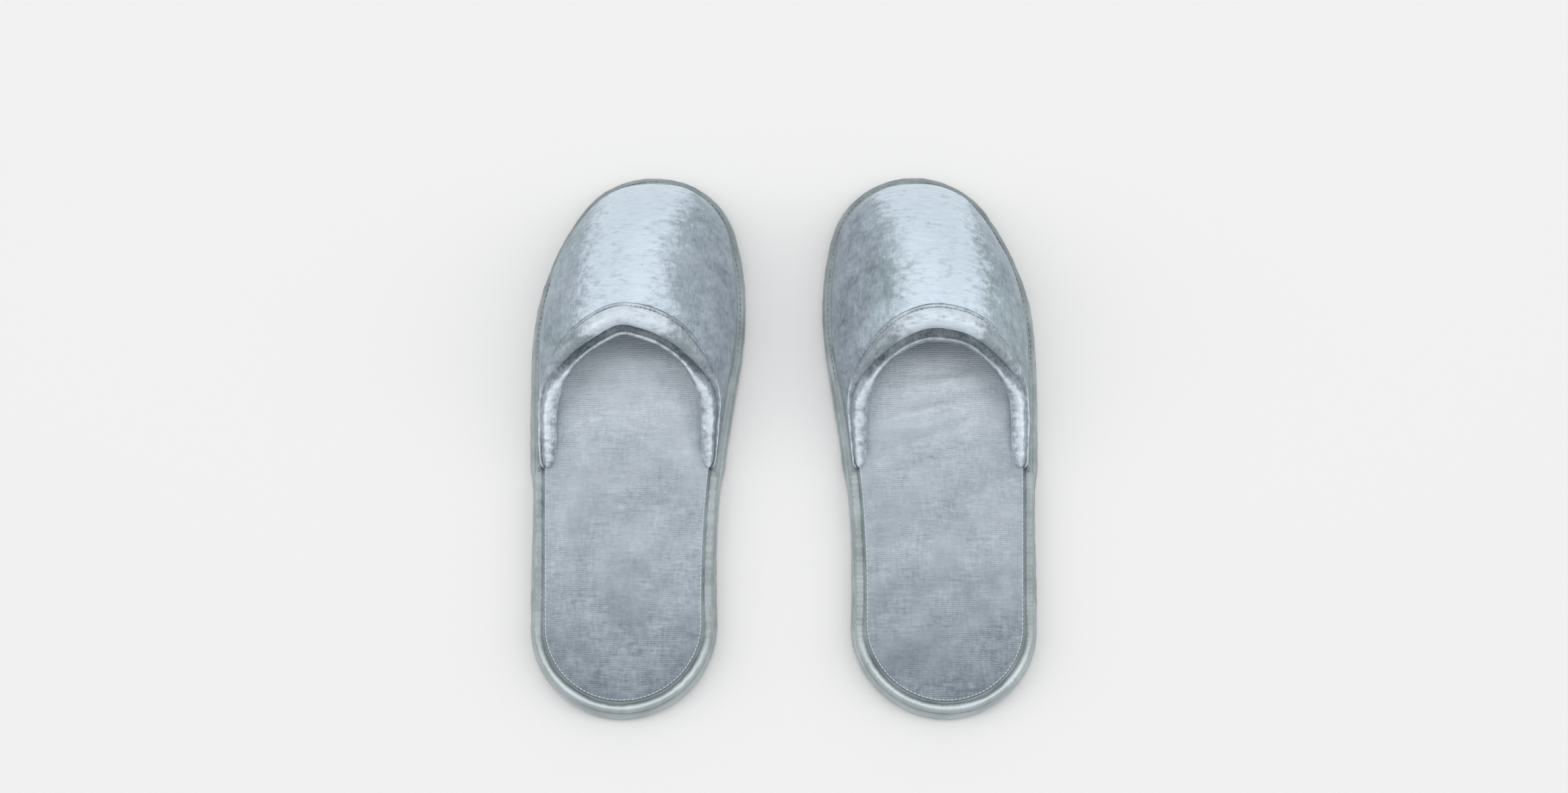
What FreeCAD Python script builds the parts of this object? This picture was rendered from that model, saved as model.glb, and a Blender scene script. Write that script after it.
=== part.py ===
import FreeCAD, Part
import math
import os
import Sketcher

# A pair of closed-toe spa slippers with an open heel.
# Row frame: +Y points to the toes, +Z is up, the floor is Z = 0, and the origin is on the floor
# in the middle of the pair. "Local" sizes of one slipper are measured from the back of its heel
# (Y) and from its heel's centre line (X, positive towards the other slipper).
# The left slipper is modelled; the right one is its mirror image.

os.makedirs("parts", exist_ok=True)
V = FreeCAD.Vector
doc = FreeCAD.newDocument("SpaSlippers")
sheet = doc.addObject("Spreadsheet::Sheet", "Sizes")


# ---------------------------------------------------------------- driving dimensions (mm)

DRIVING = [
    ("pair_spacing", 155.4, "between the two heels' centre lines"),
    ("sole_length", 285, "heel to toe"),
    ("heel_radius", 45, "round heel"),
    ("toe_radius", 44, "round toe"),
    ("toe_offset", 9.8, "toe centre's shift towards the big toe"),
    ("lateral_reach", 50.1, "heel centre line to the widest outer point"),
    ("lateral_ball_radius", 138.6, "outer side of the ball of the foot"),
    ("medial_reach", 57.9, "heel centre line to the widest inner point"),
    ("medial_ball_radius", 172.8, "inner side of the ball of the foot"),
    ("waist_radius", 589.5, "hollow inner side of the arch"),
    ("flex_line", 105, "where the sole bends, from the back of the heel"),
    ("flex_gap", 0.3, "clearance between the two halves of the sole"),
    ("outsole_thickness", 5, "foam rubber sole"),
    ("outsole_inset", 1.3, "outline to the foam rubber's edge"),
    ("outsole_rounding", 1, "round along the sole's lower edge"),
    ("tread_depth", 0.9, "grooves across the sole"),
    ("tread_width", 2.4, "one groove"),
    ("tread_pitch", 9, "groove to groove"),
    ("tread_margin", 9, "sole's edge to the tread"),
    ("band_bottom", 0.8, "side band's lower edge above the floor"),
    ("band_top", 7.2, "side band's upper edge above the floor"),
    ("band_lip", 1, "thickness of the lip turned in over the board"),
    ("band_lip_inset", 4.8, "outline to the lip's inner edge"),
    ("band_rounding", 1.2, "round along the side band's upper edge"),
    ("board_thickness", 1.2, "stiffening board"),
    ("foam_thickness", 4, "cushion"),
    ("foam_inset", 9.2, "outline to the cushion's edge"),
    ("cover_thickness", 1.6, "terry cloth on the cushion"),
    ("cover_inset", 9.2, "outline to the terry cloth's edge"),
    ("cover_rounding", 0.9, "round along the terry cloth's upper edge"),
    ("roll_inset", 5, "outline to the edge roll's middle"),
    ("roll_radius", 2.6, "edge roll"),
    ("roll_cord_radius", 1.5, "cord inside the edge roll"),
    ("roll_end", 121.5, "where the edge roll stops, from the back of the heel"),
    ("collar_end", 123.5, "where the collar's tips stop, from the back of the heel"),
    ("vamp_inset", 3.8, "outline to the upper's lower edge"),
    ("vamp_height", 40.5, "upper's ridge above the side band"),
    ("vamp_peak", 200, "highest point of the ridge, from the back of the heel"),
    ("vamp_start", 100, "where the ridge line would meet the sole"),
    ("shell_thickness", 1.5, "velour"),
    ("shell_start", 133, "where the velour starts, from the back of the heel"),
    ("padding_thickness", 2, "foam under the velour"),
    ("padding_start", 150, "where that foam starts, from the back of the heel"),
    ("lining_thickness", 1, "cloth inside"),
    ("lining_start", 160, "where the inside cloth starts, from the back of the heel"),
    ("band_thickness", 1.5, "folded band on top of the velour"),
    ("opening_half_width", 38.2, "foot opening: straight sides and a half-round throat"),
    ("opening_offset", 0.8, "heel centre line to the opening's"),
    ("opening_middle", 147, "centre of the half-round throat, from the back of the heel"),
    ("collar_roll_width", 4.5, "padded roll along the opening"),
    ("collar_band_throat", 7.5, "folded band's width at the throat, beyond the roll"),
    ("collar_band_side", 3.5, "folded band's width at the sides, beyond the roll"),
    ("collar_cord_margin", 1.2, "roll's surface to the cord inside"),
    ("thread_radius", 0.35, "sewing thread"),
    ("stitch_length", 2.6, "one stitch"),
    ("stitch_pitch", 3.8, "stitch to stitch"),
    ("stitch_lift", 0.15, "clearance under the stitches on the velour and on the terry cloth"),
    ("sole_stitch_inset", 9.7, "outline to the stitches round the terry cloth"),
    ("rim_stitch_inset", 2.2, "outline to the stitches round the toe"),
    ("rim_stitch_start", 156, "where the stitches round the toe begin, from the back of the heel"),
    ("tack_size", 1.4, "bar tack along the slipper"),
    ("tack_width", 3.2, "bar tack across the slipper"),
    ("tack_height", 3, "bar tack above the side band"),
]

SAME_HEIGHT = 0.01

# The outline is a chain of tangent arcs, so its circle centres follow from the sizes above.
DERIVED = [
    ("toe_centre", "=sole_length - toe_radius"),
    ("lateral_ball_x", "=lateral_ball_radius - lateral_reach"),
    ("lateral_ball_y", "=toe_centre - sqrt((lateral_ball_radius - toe_radius)^2"
                       " - (lateral_ball_x - toe_offset)^2)"),
    ("medial_ball_x", "=medial_ball_radius - medial_reach"),
    ("medial_ball_y", "=toe_centre - sqrt((medial_ball_radius - toe_radius)^2"
                      " - (medial_ball_x + toe_offset)^2)"),
    ("lateral_lean", "=atan2(lateral_ball_y - heel_radius; lateral_ball_x)"
                     " - acos((lateral_ball_radius - heel_radius)"
                     " / hypot(lateral_ball_x; lateral_ball_y - heel_radius))"),
    ("left_x", "=0 - pair_spacing / 2"),
    ("back_y", "=0 - sole_length / 2"),
    ("cover_top", "=outsole_thickness + board_thickness + foam_thickness + cover_thickness"),
]


def fill_sheet():
    sheet.set("A1", "name")
    sheet.set("B1", "value")
    sheet.set("C1", "what it is")
    rows = [(name, str(value), note) for name, value, note in DRIVING]
    rows += [(name, formula, "worked out") for name, formula in DERIVED]
    for number, (name, value, note) in enumerate(rows, start=2):
        sheet.set(f"A{number}", name)
        sheet.set(f"B{number}", value)
        sheet.set(f"C{number}", note)
        sheet.setAlias(f"B{number}", name)
    doc.recompute()


def size(text):
    """The value of a cell, or of an expression of cells, as a plain number (degrees for an angle)."""
    value = sheet.evalExpression(cells(text).replace("Sizes.", ""))
    return float(getattr(value, "Value", value))


def cells(text):
    """An expression written with bare cell names, with the sheet's name put before each."""
    for name in sorted([row[0] for row in DRIVING + DERIVED], key=len, reverse=True):
        text = text.replace(name, "#" + str(CELL_NUMBER[name]) + "#")
    for name, number in CELL_NUMBER.items():
        text = text.replace(f"#{number}#", "Sizes." + name)
    return text


CELL_NUMBER = {row[0]: number for number, row in enumerate(DRIVING + DERIVED)}


def bind(obj, prop, text):
    obj.setExpression(prop, cells(text))


def place(obj, x="left_x", y="back_y", z="0"):
    """Bind an object's position in the row frame."""
    bind(obj, "Placement.Base.x", x)
    bind(obj, "Placement.Base.y", y)
    bind(obj, "Placement.Base.z", z)


# ---------------------------------------------------------------- outline of the sole

def circle_meeting(first, first_distance, second, second_distance):
    """The right-hand point at the given distances from two centres."""
    gap = second - first
    along = (first_distance ** 2 - second_distance ** 2 + gap.Length ** 2) / (2 * gap.Length)
    across = math.sqrt(first_distance ** 2 - along ** 2)
    gap.normalize()
    return first + gap * along + V(gap.y, -gap.x, 0) * across


def angle_of(centre, point):
    return math.atan2(point.y - centre.y, point.x - centre.x)


def arc(centre, radius, start, end):
    return Part.ArcOfCircle(Part.Circle(centre, V(0, 0, 1), radius), start, end)


def draw_outline(sketch, inset):
    """The slipper's outline moved in by `inset`, an expression: five arcs and a straight side."""
    step = size(inset)
    heel = V(0, size("heel_radius"), 0)
    toe = V(size("toe_offset"), size("toe_centre"), 0)
    lateral = V(size("lateral_ball_x"), size("lateral_ball_y"), 0)
    medial = V(-size("medial_ball_x"), size("medial_ball_y"), 0)
    waist = circle_meeting(heel, size("heel_radius") + size("waist_radius"),
                           medial, size("medial_ball_radius") + size("waist_radius"))
    lean = math.pi + math.radians(size("lateral_lean"))
    to_waist = angle_of(heel, waist)
    medial_to_waist = angle_of(medial, waist)
    medial_to_toe = angle_of(medial, toe)
    lateral_to_toe = angle_of(lateral, toe)
    straight_top = lateral + V(math.cos(lean), math.sin(lean), 0) * (size("lateral_ball_radius") - step)
    straight_end = heel + V(math.cos(lean), math.sin(lean), 0) * (size("heel_radius") - step)
    heel_arc, waist_arc, medial_arc, toe_arc, lateral_arc, straight = sketch.addGeometry([
        arc(heel, size("heel_radius") - step, lean, 2 * math.pi + to_waist),
        arc(waist, size("waist_radius") + step, math.pi + medial_to_waist, math.pi + to_waist),
        arc(medial, size("medial_ball_radius") - step, medial_to_waist, medial_to_toe),
        arc(toe, size("toe_radius") - step, medial_to_toe, lateral_to_toe),
        arc(lateral, size("lateral_ball_radius") - step, lateral_to_toe, lean),
        Part.LineSegment(straight_top, straight_end),
    ], False)
    start, end, centre = 1, 2, 3
    joins = [(heel_arc, end, waist_arc, end), (waist_arc, start, medial_arc, start),
             (medial_arc, end, toe_arc, start), (toe_arc, end, lateral_arc, start),
             (lateral_arc, end, straight, start), (straight, end, heel_arc, start)]
    sketch.addConstraint([Sketcher.Constraint("Tangent", *join) for join in joins])
    sketch.addConstraint(Sketcher.Constraint("PointOnObject", heel_arc, centre, -2))
    radii = [(heel_arc, "heel_radius", "-"), (waist_arc, "waist_radius", "+"),
             (medial_arc, "medial_ball_radius", "-"), (toe_arc, "toe_radius", "-"),
             (lateral_arc, "lateral_ball_radius", "-")]
    for curve, name, sign in radii:
        radius = size(name) + (step if sign == "+" else -step)
        number = sketch.addConstraint(Sketcher.Constraint("Radius", curve, radius))
        bind(sketch, f"Constraints[{number}]", f"{name} {sign} {inset}")
    origin = (-1, 1)
    centres = [("DistanceY", *origin, heel_arc, centre, "heel_radius"),
               ("DistanceX", *origin, toe_arc, centre, "toe_offset"),
               ("DistanceY", *origin, toe_arc, centre, "toe_centre"),
               ("DistanceX", *origin, lateral_arc, centre, "lateral_ball_x"),
               ("DistanceX", medial_arc, centre, *origin, "medial_ball_x")]
    for kind, curve, point, other, other_point, name in centres:
        number = sketch.addConstraint(
            Sketcher.Constraint(kind, curve, point, other, other_point, size(name)))
        bind(sketch, f"Constraints[{number}]", name)


def flat_sketch(body, name, height):
    """An empty sketch in a body, level, with its origin at the back of the heel."""
    plane = next(part for part in body.Origin.OriginFeatures if part.Role == "XY_Plane")
    sketch = body.newObject("Sketcher::SketchObject", name)
    sketch.AttachmentSupport = [(plane, "")]
    sketch.MapMode = "FlatFace"
    bind(sketch, "AttachmentOffset.Base.x", "left_x")
    bind(sketch, "AttachmentOffset.Base.y", "back_y")
    bind(sketch, "AttachmentOffset.Base.z", height)
    return sketch


def pad_outline(body, name, inset, height, thickness):
    sketch = flat_sketch(body, name + "_outline", height)
    draw_outline(sketch, inset)
    pad = body.newObject("PartDesign::Pad", name + "_pad")
    pad.Profile = sketch
    bind(pad, "Length", thickness)
    return pad


def pocket_outline(body, name, inset, height, depth):
    """Cut the outline downwards from a height."""
    sketch = flat_sketch(body, name + "_outline", height)
    draw_outline(sketch, inset)
    before = body.Shape.Volume
    pocket = body.newObject("PartDesign::Pocket", name + "_pocket")
    pocket.Profile = sketch
    bind(pocket, "Length", depth)
    doc.recompute()
    assert pocket.Shape.Volume < before - 1, name + " cuts nothing"
    return pocket


def edges_at(shape, height):
    """Names of a shape's edges that lie flat at a height."""
    names = []
    for number, edge in enumerate(shape.Edges, start=1):
        reach = edge.BoundBox
        if max(abs(reach.ZMin - height), abs(reach.ZMax - height)) < SAME_HEIGHT:
            names.append(f"Edge{number}")
    return names


def round_edges(body, name, base, height, radius):
    doc.recompute()
    fillet = body.newObject("PartDesign::Fillet", name + "_round")
    fillet.Base = (base, edges_at(base.Shape, height))
    bind(fillet, "Radius", radius)
    return fillet


# ---------------------------------------------------------------- layers of the sole

def outsole():
    """Foam rubber sole with grooves across its underside."""
    body = doc.addObject("PartDesign::Body", "outsole")
    pad = pad_outline(body, "outsole", "outsole_inset", "0", "outsole_thickness")
    round_edges(body, "outsole", pad, 0, "outsole_rounding")
    doc.recompute()
    tread = doc.addObject("PartDesign::Body", "tread_area")
    pad_outline(tread, "tread", "tread_margin", "0 - tread_depth", "2 * tread_depth")
    bars = doc.addObject("Part::Compound", "tread_bars")
    first = math.ceil(size("tread_margin / tread_pitch + 0.5"))
    last = int(size("(sole_length - tread_margin) / tread_pitch - 0.5"))
    bars.Links = [tread_bar(number) for number in range(first, last + 1)]
    return cut("outsole_with_tread", body, common("tread_grooves", bars, tread))


def tread_bar(number):
    return box(f"tread_bar_{number}", "left_x - sole_length / 2",
               f"back_y + {number} * tread_pitch - tread_width / 2", "0 - 2 * tread_depth",
               "sole_length", "tread_width", "4 * tread_depth")


def side_band():
    """Cloth band round the sole's edge, turned in over the board."""
    body = doc.addObject("PartDesign::Body", "side_band")
    pad = pad_outline(body, "side_band", "0", "band_bottom", "band_top - band_bottom")
    round_edges(body, "side_band", pad, size("band_top"), "band_rounding")
    doc.recompute()
    pocket_outline(body, "side_band_core", "outsole_inset", "band_top - band_lip", "band_top")
    pocket_outline(body, "side_band_lip", "band_lip_inset", "band_top + band_lip", "2 * band_lip")
    return body


def insole_board():
    """Stiffening board between the sole and the cushion."""
    body = doc.addObject("PartDesign::Body", "insole_board")
    pad_outline(body, "insole_board", "outsole_inset", "outsole_thickness", "board_thickness")
    return body


def cushion_foam():
    """Soft cushion under the terry cloth."""
    body = doc.addObject("PartDesign::Body", "cushion_foam")
    pad_outline(body, "cushion_foam", "foam_inset", "outsole_thickness + board_thickness",
                "foam_thickness")
    return body


def insole_cover():
    """Terry cloth that the foot stands on."""
    body = doc.addObject("PartDesign::Body", "insole_cover")
    pad = pad_outline(body, "insole_cover", "cover_inset", "cover_top - cover_thickness",
                      "cover_thickness")
    round_edges(body, "insole_cover", pad, size("cover_top"), "cover_rounding")
    return body


def edge_pipe(name, radius):
    """A round bar along the whole outline, `roll_inset` in from it, resting on the side band."""
    path = doc.addObject("Sketcher::SketchObject", name + "_path")
    draw_outline(path, "roll_inset")
    place(path, z="band_top + roll_radius")
    section = doc.addObject("Part::Circle", name + "_section")
    bind(section, "Radius", radius)
    section.Placement.Rotation = FreeCAD.Rotation(V(0, 1, 0), 90)
    place(section, y="back_y + roll_inset", z="band_top + roll_radius")
    doc.recompute()
    pipe = doc.addObject("Part::Sweep", name + "_pipe")
    pipe.Sections = [section]
    pipe.Spine = (path, [f"Edge{number}" for number in range(1, 7)])
    pipe.Solid = True
    pipe.Frenet = True
    return pipe


def edge_roll():
    """Bound edge of the insole, from one collar tip round the heel to the other, and its cord."""
    space = box("roll_space", "left_x - sole_length / 2", "back_y - roll_radius", "0",
                "sole_length", "roll_end + roll_radius", "sole_length")
    whole = common("edge_roll_whole", edge_pipe("edge_roll", "roll_radius"), space)
    cord = common("edge_cord", edge_pipe("edge_cord", "roll_cord_radius"), space)
    return cut("edge_binding", whole, cord), cord


# ---------------------------------------------------------------- small constructions

def box(name, x, y, z, length, width, height):
    block = doc.addObject("Part::Box", name)
    bind(block, "Length", length)
    bind(block, "Width", width)
    bind(block, "Height", height)
    place(block, x, y, z)
    return block


def cut(name, base, tool):
    result = doc.addObject("Part::Cut", name)
    result.Base = base
    result.Tool = tool
    return result


def common(name, first, second):
    result = doc.addObject("Part::MultiCommon", name)
    result.Shapes = [first, second]
    return result


# ---------------------------------------------------------------- the upper

# Where the cross-sections of the upper stand: first along the slipper (mm from the heel),
# then round the toe (degrees round the toe's centre).
STATIONS = [106, 118, 132, 148, 164, 180, 195, 210, 225, 240]
TOE_ANGLES = [20, 40, 58, 74]


def lateral_edge(station, inset):
    """Expression for the outer edge's X at a station, measured from the heel's centre line."""
    if station < size("lateral_ball_y"):
        return (f"(((heel_radius * (1 - sin(lateral_lean)) - ({inset}))"
                f" + sin(lateral_lean) * ({station})) / (0 - cos(lateral_lean)))")
    return f"(lateral_ball_x - sqrt((lateral_ball_radius - ({inset}))^2 - ({station} - lateral_ball_y)^2))"


def medial_edge(station, inset):
    """Expression for the inner edge's X at a station, measured from the heel's centre line."""
    waist_x, waist_y = waist_centre()
    if station < waist_top():
        return f"({waist_x} - sqrt((waist_radius + ({inset}))^2 - ({station} - {waist_y})^2))"
    return f"(sqrt((medial_ball_radius - ({inset}))^2 - ({station} - medial_ball_y)^2) - medial_ball_x)"


def waist_centre():
    heel = V(0, size("heel_radius"), 0)
    medial = V(-size("medial_ball_x"), size("medial_ball_y"), 0)
    waist = circle_meeting(heel, size("heel_radius") + size("waist_radius"),
                           medial, size("medial_ball_radius") + size("waist_radius"))
    return waist.x, waist.y


def waist_top():
    """Where the hollow side of the arch gives way to the ball of the foot."""
    medial = V(-size("medial_ball_x"), size("medial_ball_y"), 0)
    waist = V(*waist_centre(), 0)
    to_waist = (waist - medial).normalize()
    return medial.y + to_waist.y * size("medial_ball_radius")


def ridge(station, thickness):
    """Expression for the upper's height above the side band at a station."""
    if station < size("vamp_peak"):
        rise = f"sin(90 * ({station} - vamp_start) / (vamp_peak - vamp_start))^1.1"
    else:
        rise = f"sqrt(1 - (({station} - vamp_peak) / (sole_length - vamp_inset - vamp_peak))^2)"
    return f"(vamp_height + ({thickness})) * {rise}"


def section(name, left, right, station, height):
    """One cross-section of the upper: a whole ellipse, upright across the slipper."""
    ellipse = doc.addObject("Part::Ellipse", name)
    bind(ellipse, "MajorRadius", f"({right} - {left}) / 2")
    bind(ellipse, "MinorRadius", height)
    ellipse.Placement.Rotation = FreeCAD.Rotation(V(1, 0, 0), 90)
    place(ellipse, f"left_x + ({right} + {left}) / 2", f"back_y + {station}", "band_top")
    return ellipse


def dome(name, thickness):
    """A solid under the upper's surface moved out by `thickness`, an expression."""
    inset = f"vamp_inset - ({thickness})"
    sections = []
    for station in STATIONS:
        sections.append(section(f"{name}_at_{station}", lateral_edge(station, inset),
                                medial_edge(station, inset), station, ridge(station, thickness)))
    reach = f"(toe_radius - ({inset}))"
    for angle in TOE_ANGLES:
        half_width = f"{reach} * cos({angle})"
        station = f"(toe_centre + {reach} * sin({angle}))"
        tip = f"(toe_centre + {reach})"
        height = (f"(vamp_height + ({thickness}))"
                  f" * sqrt(1 - (({station} - vamp_peak) / ({tip} - vamp_peak))^2)")
        sections.append(section(f"{name}_toe_{angle}", f"(toe_offset - {half_width})",
                                f"(toe_offset + {half_width})", station, height))
    tip_point = doc.addObject("Part::Vertex", name + "_tip")
    place(tip_point, "left_x + toe_offset", f"back_y + toe_centre + {reach}", "band_top")
    loft = doc.addObject("Part::Loft", name)
    loft.Sections = sections + [tip_point]
    loft.Solid = True
    loft.Ruled = False
    return loft


def opening(name, side_margin, throat_margin):
    """An upright bar through the foot opening, widened by the two margins: a box and a cylinder."""
    half_width = f"(opening_half_width + {side_margin})"
    middle = f"(opening_middle + {throat_margin} - ({side_margin}))"
    left_side = f"left_x + opening_offset - {half_width}"
    sides = box(name + "_sides", left_side, "back_y", "0", f"2 * {half_width}", middle, "sole_length")
    throat = doc.addObject("Part::Cylinder", name + "_throat")
    bind(throat, "Radius", half_width)
    bind(throat, "Height", "sole_length")
    place(throat, "left_x + opening_offset", f"back_y + {middle}")
    bar = doc.addObject("Part::Fuse", name)
    bar.Base = sides
    bar.Tool = throat
    return bar


def layer(name, outer, inner, start="collar_end"):
    """What lies between two domes, from `start` forward."""
    space = box(name + "_space", "left_x - sole_length / 2", f"back_y + {start}", "band_top",
                "sole_length", "sole_length", "sole_length")
    return common(name, cut(name + "_between", outer, inner), space)


def upper():
    """The upper's velour, foam and cloth, its padded collar, and the room they take."""
    shell_in = "0 - shell_thickness"
    padding_in = f"{shell_in} - padding_thickness"
    lining_in = f"{padding_in} - lining_thickness"
    outside = dome("collar_outside", "band_thickness")
    velour_face = dome("velour_face", "0")
    velour_back = dome("velour_back", shell_in)
    padding_back = dome("padding_back", padding_in)
    lining_face = dome("lining_face", lining_in)
    hole = opening("hole", "0", "0")
    roll_edge = opening("roll_edge", "collar_roll_width", "collar_roll_width")
    band_edge = opening("band_edge", "collar_roll_width + collar_band_side",
                        "collar_roll_width + collar_band_throat")
    cord_front = opening("cord_front", "collar_roll_width - collar_cord_margin",
                         "collar_roll_width - collar_cord_margin")
    cord_back = opening("cord_back", "collar_cord_margin", "collar_cord_margin")
    cord = cut("collar_cord",
               common("cord_strip", layer("cord_layer", velour_face, padding_back), cord_front),
               cord_back)
    roll = cut("collar_roll_whole",
               common("roll_strip", layer("roll_layer", outside, lining_face), roll_edge), hole)
    band = common("band_strip", layer("band_layer", outside, velour_face), band_edge)
    return {
        "vamp_shell": cut("vamp_shell",
                          layer("shell_layer", velour_face, velour_back, "shell_start"), roll_edge),
        "vamp_padding": cut("vamp_padding",
                            layer("padding_layer", velour_back, padding_back, "padding_start"),
                            roll_edge),
        "vamp_lining": cut("vamp_lining",
                           layer("lining_layer", padding_back, lining_face, "lining_start"),
                           roll_edge),
        "collar_band": cut("collar_band", band, roll_edge),
        "collar_roll": cut("collar_roll", roll, cord),
        "collar_cord": cord,
    }, layer("upper_room", outside, lining_face)


def bar_tacks():
    """A block of dense stitches across the seam behind each collar tip."""
    station = "((roll_end + collar_end) / 2)"
    middle = size(station)
    tacks = []
    for side, edge in (("outer", lateral_edge(middle, "roll_inset")),
                       ("inner", medial_edge(middle, "roll_inset"))):
        tacks.append(box(f"{side}_tack", f"left_x + {edge} - tack_width / 2",
                         f"back_y + {station} - tack_size / 2", "band_top",
                         "tack_width", "tack_size", "tack_height"))
    group = doc.addObject("Part::Compound", "bar_tacks")
    group.Links = tacks
    return group


# ---------------------------------------------------------------- rows of stitches

def stitch_row(name, points, keep):
    """Short lengths of thread along a row of points, those whose middle `keep` accepts."""
    threads = []
    for point, following in zip(points, points[1:]):
        along = (following - point).normalize()
        start = point - along * size("stitch_length") / 2
        if keep(point):
            threads.append(Part.makeCylinder(size("thread_radius"), size("stitch_length"), start, along))
    row = doc.addObject("Part::Feature", name)
    row.Shape = Part.makeCompound(threads)
    row.Placement = FreeCAD.Placement()
    return row


def points_along_outline(name, inset, height):
    """Evenly spaced points along the outline moved in by `inset`."""
    path = doc.addObject("Sketcher::SketchObject", name)
    draw_outline(path, inset)
    place(path, z=height)
    doc.recompute()
    return path.Shape.Wires[0].discretize(Distance=size("stitch_pitch"))


def stitches():
    """The rows round the terry cloth, round the toe and along the folded band."""
    flex = size("back_y + flex_line")
    reach = size("stitch_length")
    tip = size("back_y + collar_end")
    rim_start = size("back_y + rim_stitch_start")
    reach_over_rounding = "cover_rounding + thread_radius + stitch_lift"
    sole_row = points_along_outline("sole_stitch_path", "sole_stitch_inset",
                                    f"cover_top - cover_rounding + sqrt(({reach_over_rounding})^2"
                                    " - (cover_inset + cover_rounding - sole_stitch_inset)^2)")
    rim_row = points_along_outline("rim_stitch_path", "rim_stitch_inset", "band_top + thread_radius")
    return {
        "sole_stitching_heel": stitch_row("sole_stitching_heel", sole_row,
                                          lambda point: point.y < flex - reach),
        "sole_stitching_front": stitch_row("sole_stitching_front", sole_row,
                                           lambda point: flex + reach < point.y < tip - reach),
        "toe_stitching": stitch_row("toe_stitching", rim_row, lambda point: point.y > rim_start),
        "collar_stitching": stitch_row("collar_stitching", collar_stitch_points(),
                                       lambda point: point.y > tip + reach),
    }


def collar_stitch_points():
    """Points on the velour just outside the folded band, one stitch pitch apart."""
    half_width = size("opening_half_width + collar_roll_width + collar_band_side + 2 * thread_radius")
    middle = size("opening_middle + collar_band_throat - collar_band_side")
    centre = size("opening_offset")
    start = size("collar_end")
    rim = Part.Wire([
        Part.LineSegment(V(centre - half_width, start, 0), V(centre - half_width, middle, 0)).toShape(),
        Part.Arc(V(centre - half_width, middle, 0), V(centre, middle + half_width, 0),
                 V(centre + half_width, middle, 0)).toShape(),
        Part.LineSegment(V(centre + half_width, middle, 0), V(centre + half_width, start, 0)).toShape(),
    ])
    points = []
    for flat in rim.discretize(Distance=size("stitch_pitch")):
        left = size(lateral_edge(flat.y, "vamp_inset - thread_radius - stitch_lift"))
        right = size(medial_edge(flat.y, "vamp_inset - thread_radius - stitch_lift"))
        share = 1 - ((2 * flat.x - left - right) / (right - left)) ** 2
        if share > 0:
            height = size(ridge(flat.y, "thread_radius + stitch_lift")) * math.sqrt(share)
            points.append(V(flat.x + size("left_x"), flat.y + size("back_y"), height + size("band_top")))
    return points


# ---------------------------------------------------------------- assembly

def split(name, solid):
    """The two halves of a layer of the sole, one on each side of the flex line."""
    return {name + "_front": common(name + "_front", solid, front_space),
            name + "_heel": common(name + "_heel", solid, heel_space)}


def left_slipper():
    nodes = {}
    nodes.update(split("outsole", outsole()))
    nodes.update(split("side_band", side_band()))
    nodes.update(split("insole_board", insole_board()))
    upper_nodes, upper_room = upper()
    nodes.update(split("cushion_foam", cut("cushion_beside_upper", cushion_foam(), upper_room)))
    nodes.update(split("insole_cover", cut("cover_beside_upper", insole_cover(), upper_room)))
    binding, cord = edge_roll()
    nodes.update(split("edge_binding", binding))
    nodes.update(split("edge_cord", cord))
    nodes.update(upper_nodes)
    nodes["bar_tacks"] = bar_tacks()
    nodes.update(stitches())
    for name, node in nodes.items():
        node.Label = "left_" + name
    return nodes


def mirrored(name, source):
    """The same piece of the right slipper."""
    twin = doc.addObject("Part::Mirroring", "right_" + name)
    twin.Source = source
    twin.Base = V(0, 0, 0)
    twin.Normal = V(1, 0, 0)
    twin.Label = "right_" + name
    return twin


def check(nodes):
    failed = [item.Name for item in doc.Objects if "Invalid" in item.State or "Error" in item.State]
    failed += [node.Label for node in nodes
               if node.Shape.isNull() or not node.Shape.isValid() or node.Shape.Volume <= 0]
    assert not failed, "failed: " + ", ".join(failed)


fill_sheet()
front_space = box("front_space", "left_x - sole_length / 2", "back_y + flex_line + flex_gap / 2", "0",
                  "sole_length", "sole_length", "sole_length")
heel_space = box("heel_space", "left_x - sole_length / 2", "back_y + flex_line - flex_gap / 2 - sole_length",
                 "0", "sole_length", "sole_length", "sole_length")
left = left_slipper()
nodes = list(left.values()) + [mirrored(name, node) for name, node in left.items()]
doc.recompute()
check(nodes)
for node in nodes:
    node.Shape.exportStep(f"parts/{node.Label}.step")
    print(f"{node.Label:30s} {len(node.Shape.Solids):4d} solids {node.Shape.Volume:12.1f} mm3")
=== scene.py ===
import math

import bpy
import numpy as np
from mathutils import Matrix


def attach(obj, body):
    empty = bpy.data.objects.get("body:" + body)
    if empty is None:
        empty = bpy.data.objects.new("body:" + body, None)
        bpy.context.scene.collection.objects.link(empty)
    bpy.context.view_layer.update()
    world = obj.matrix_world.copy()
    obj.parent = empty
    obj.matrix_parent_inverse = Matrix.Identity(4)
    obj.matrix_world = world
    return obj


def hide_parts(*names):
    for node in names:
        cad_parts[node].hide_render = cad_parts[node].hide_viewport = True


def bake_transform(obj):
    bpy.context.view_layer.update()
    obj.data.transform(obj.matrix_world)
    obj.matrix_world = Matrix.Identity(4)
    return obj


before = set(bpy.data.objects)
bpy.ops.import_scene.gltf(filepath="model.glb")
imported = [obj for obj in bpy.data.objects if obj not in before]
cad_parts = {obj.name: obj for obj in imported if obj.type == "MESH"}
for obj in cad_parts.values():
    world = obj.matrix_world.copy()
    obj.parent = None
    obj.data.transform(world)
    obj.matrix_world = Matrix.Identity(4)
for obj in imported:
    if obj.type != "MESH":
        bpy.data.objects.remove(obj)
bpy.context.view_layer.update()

# All sizes are in millimetres and belong to one slipper: X from the heel's centre line, positive
# towards the other slipper, Y from the back of the heel, and Z from the floor.
# Both slippers are built alike and mirrored, with their own creases, puckers and throat.

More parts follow.
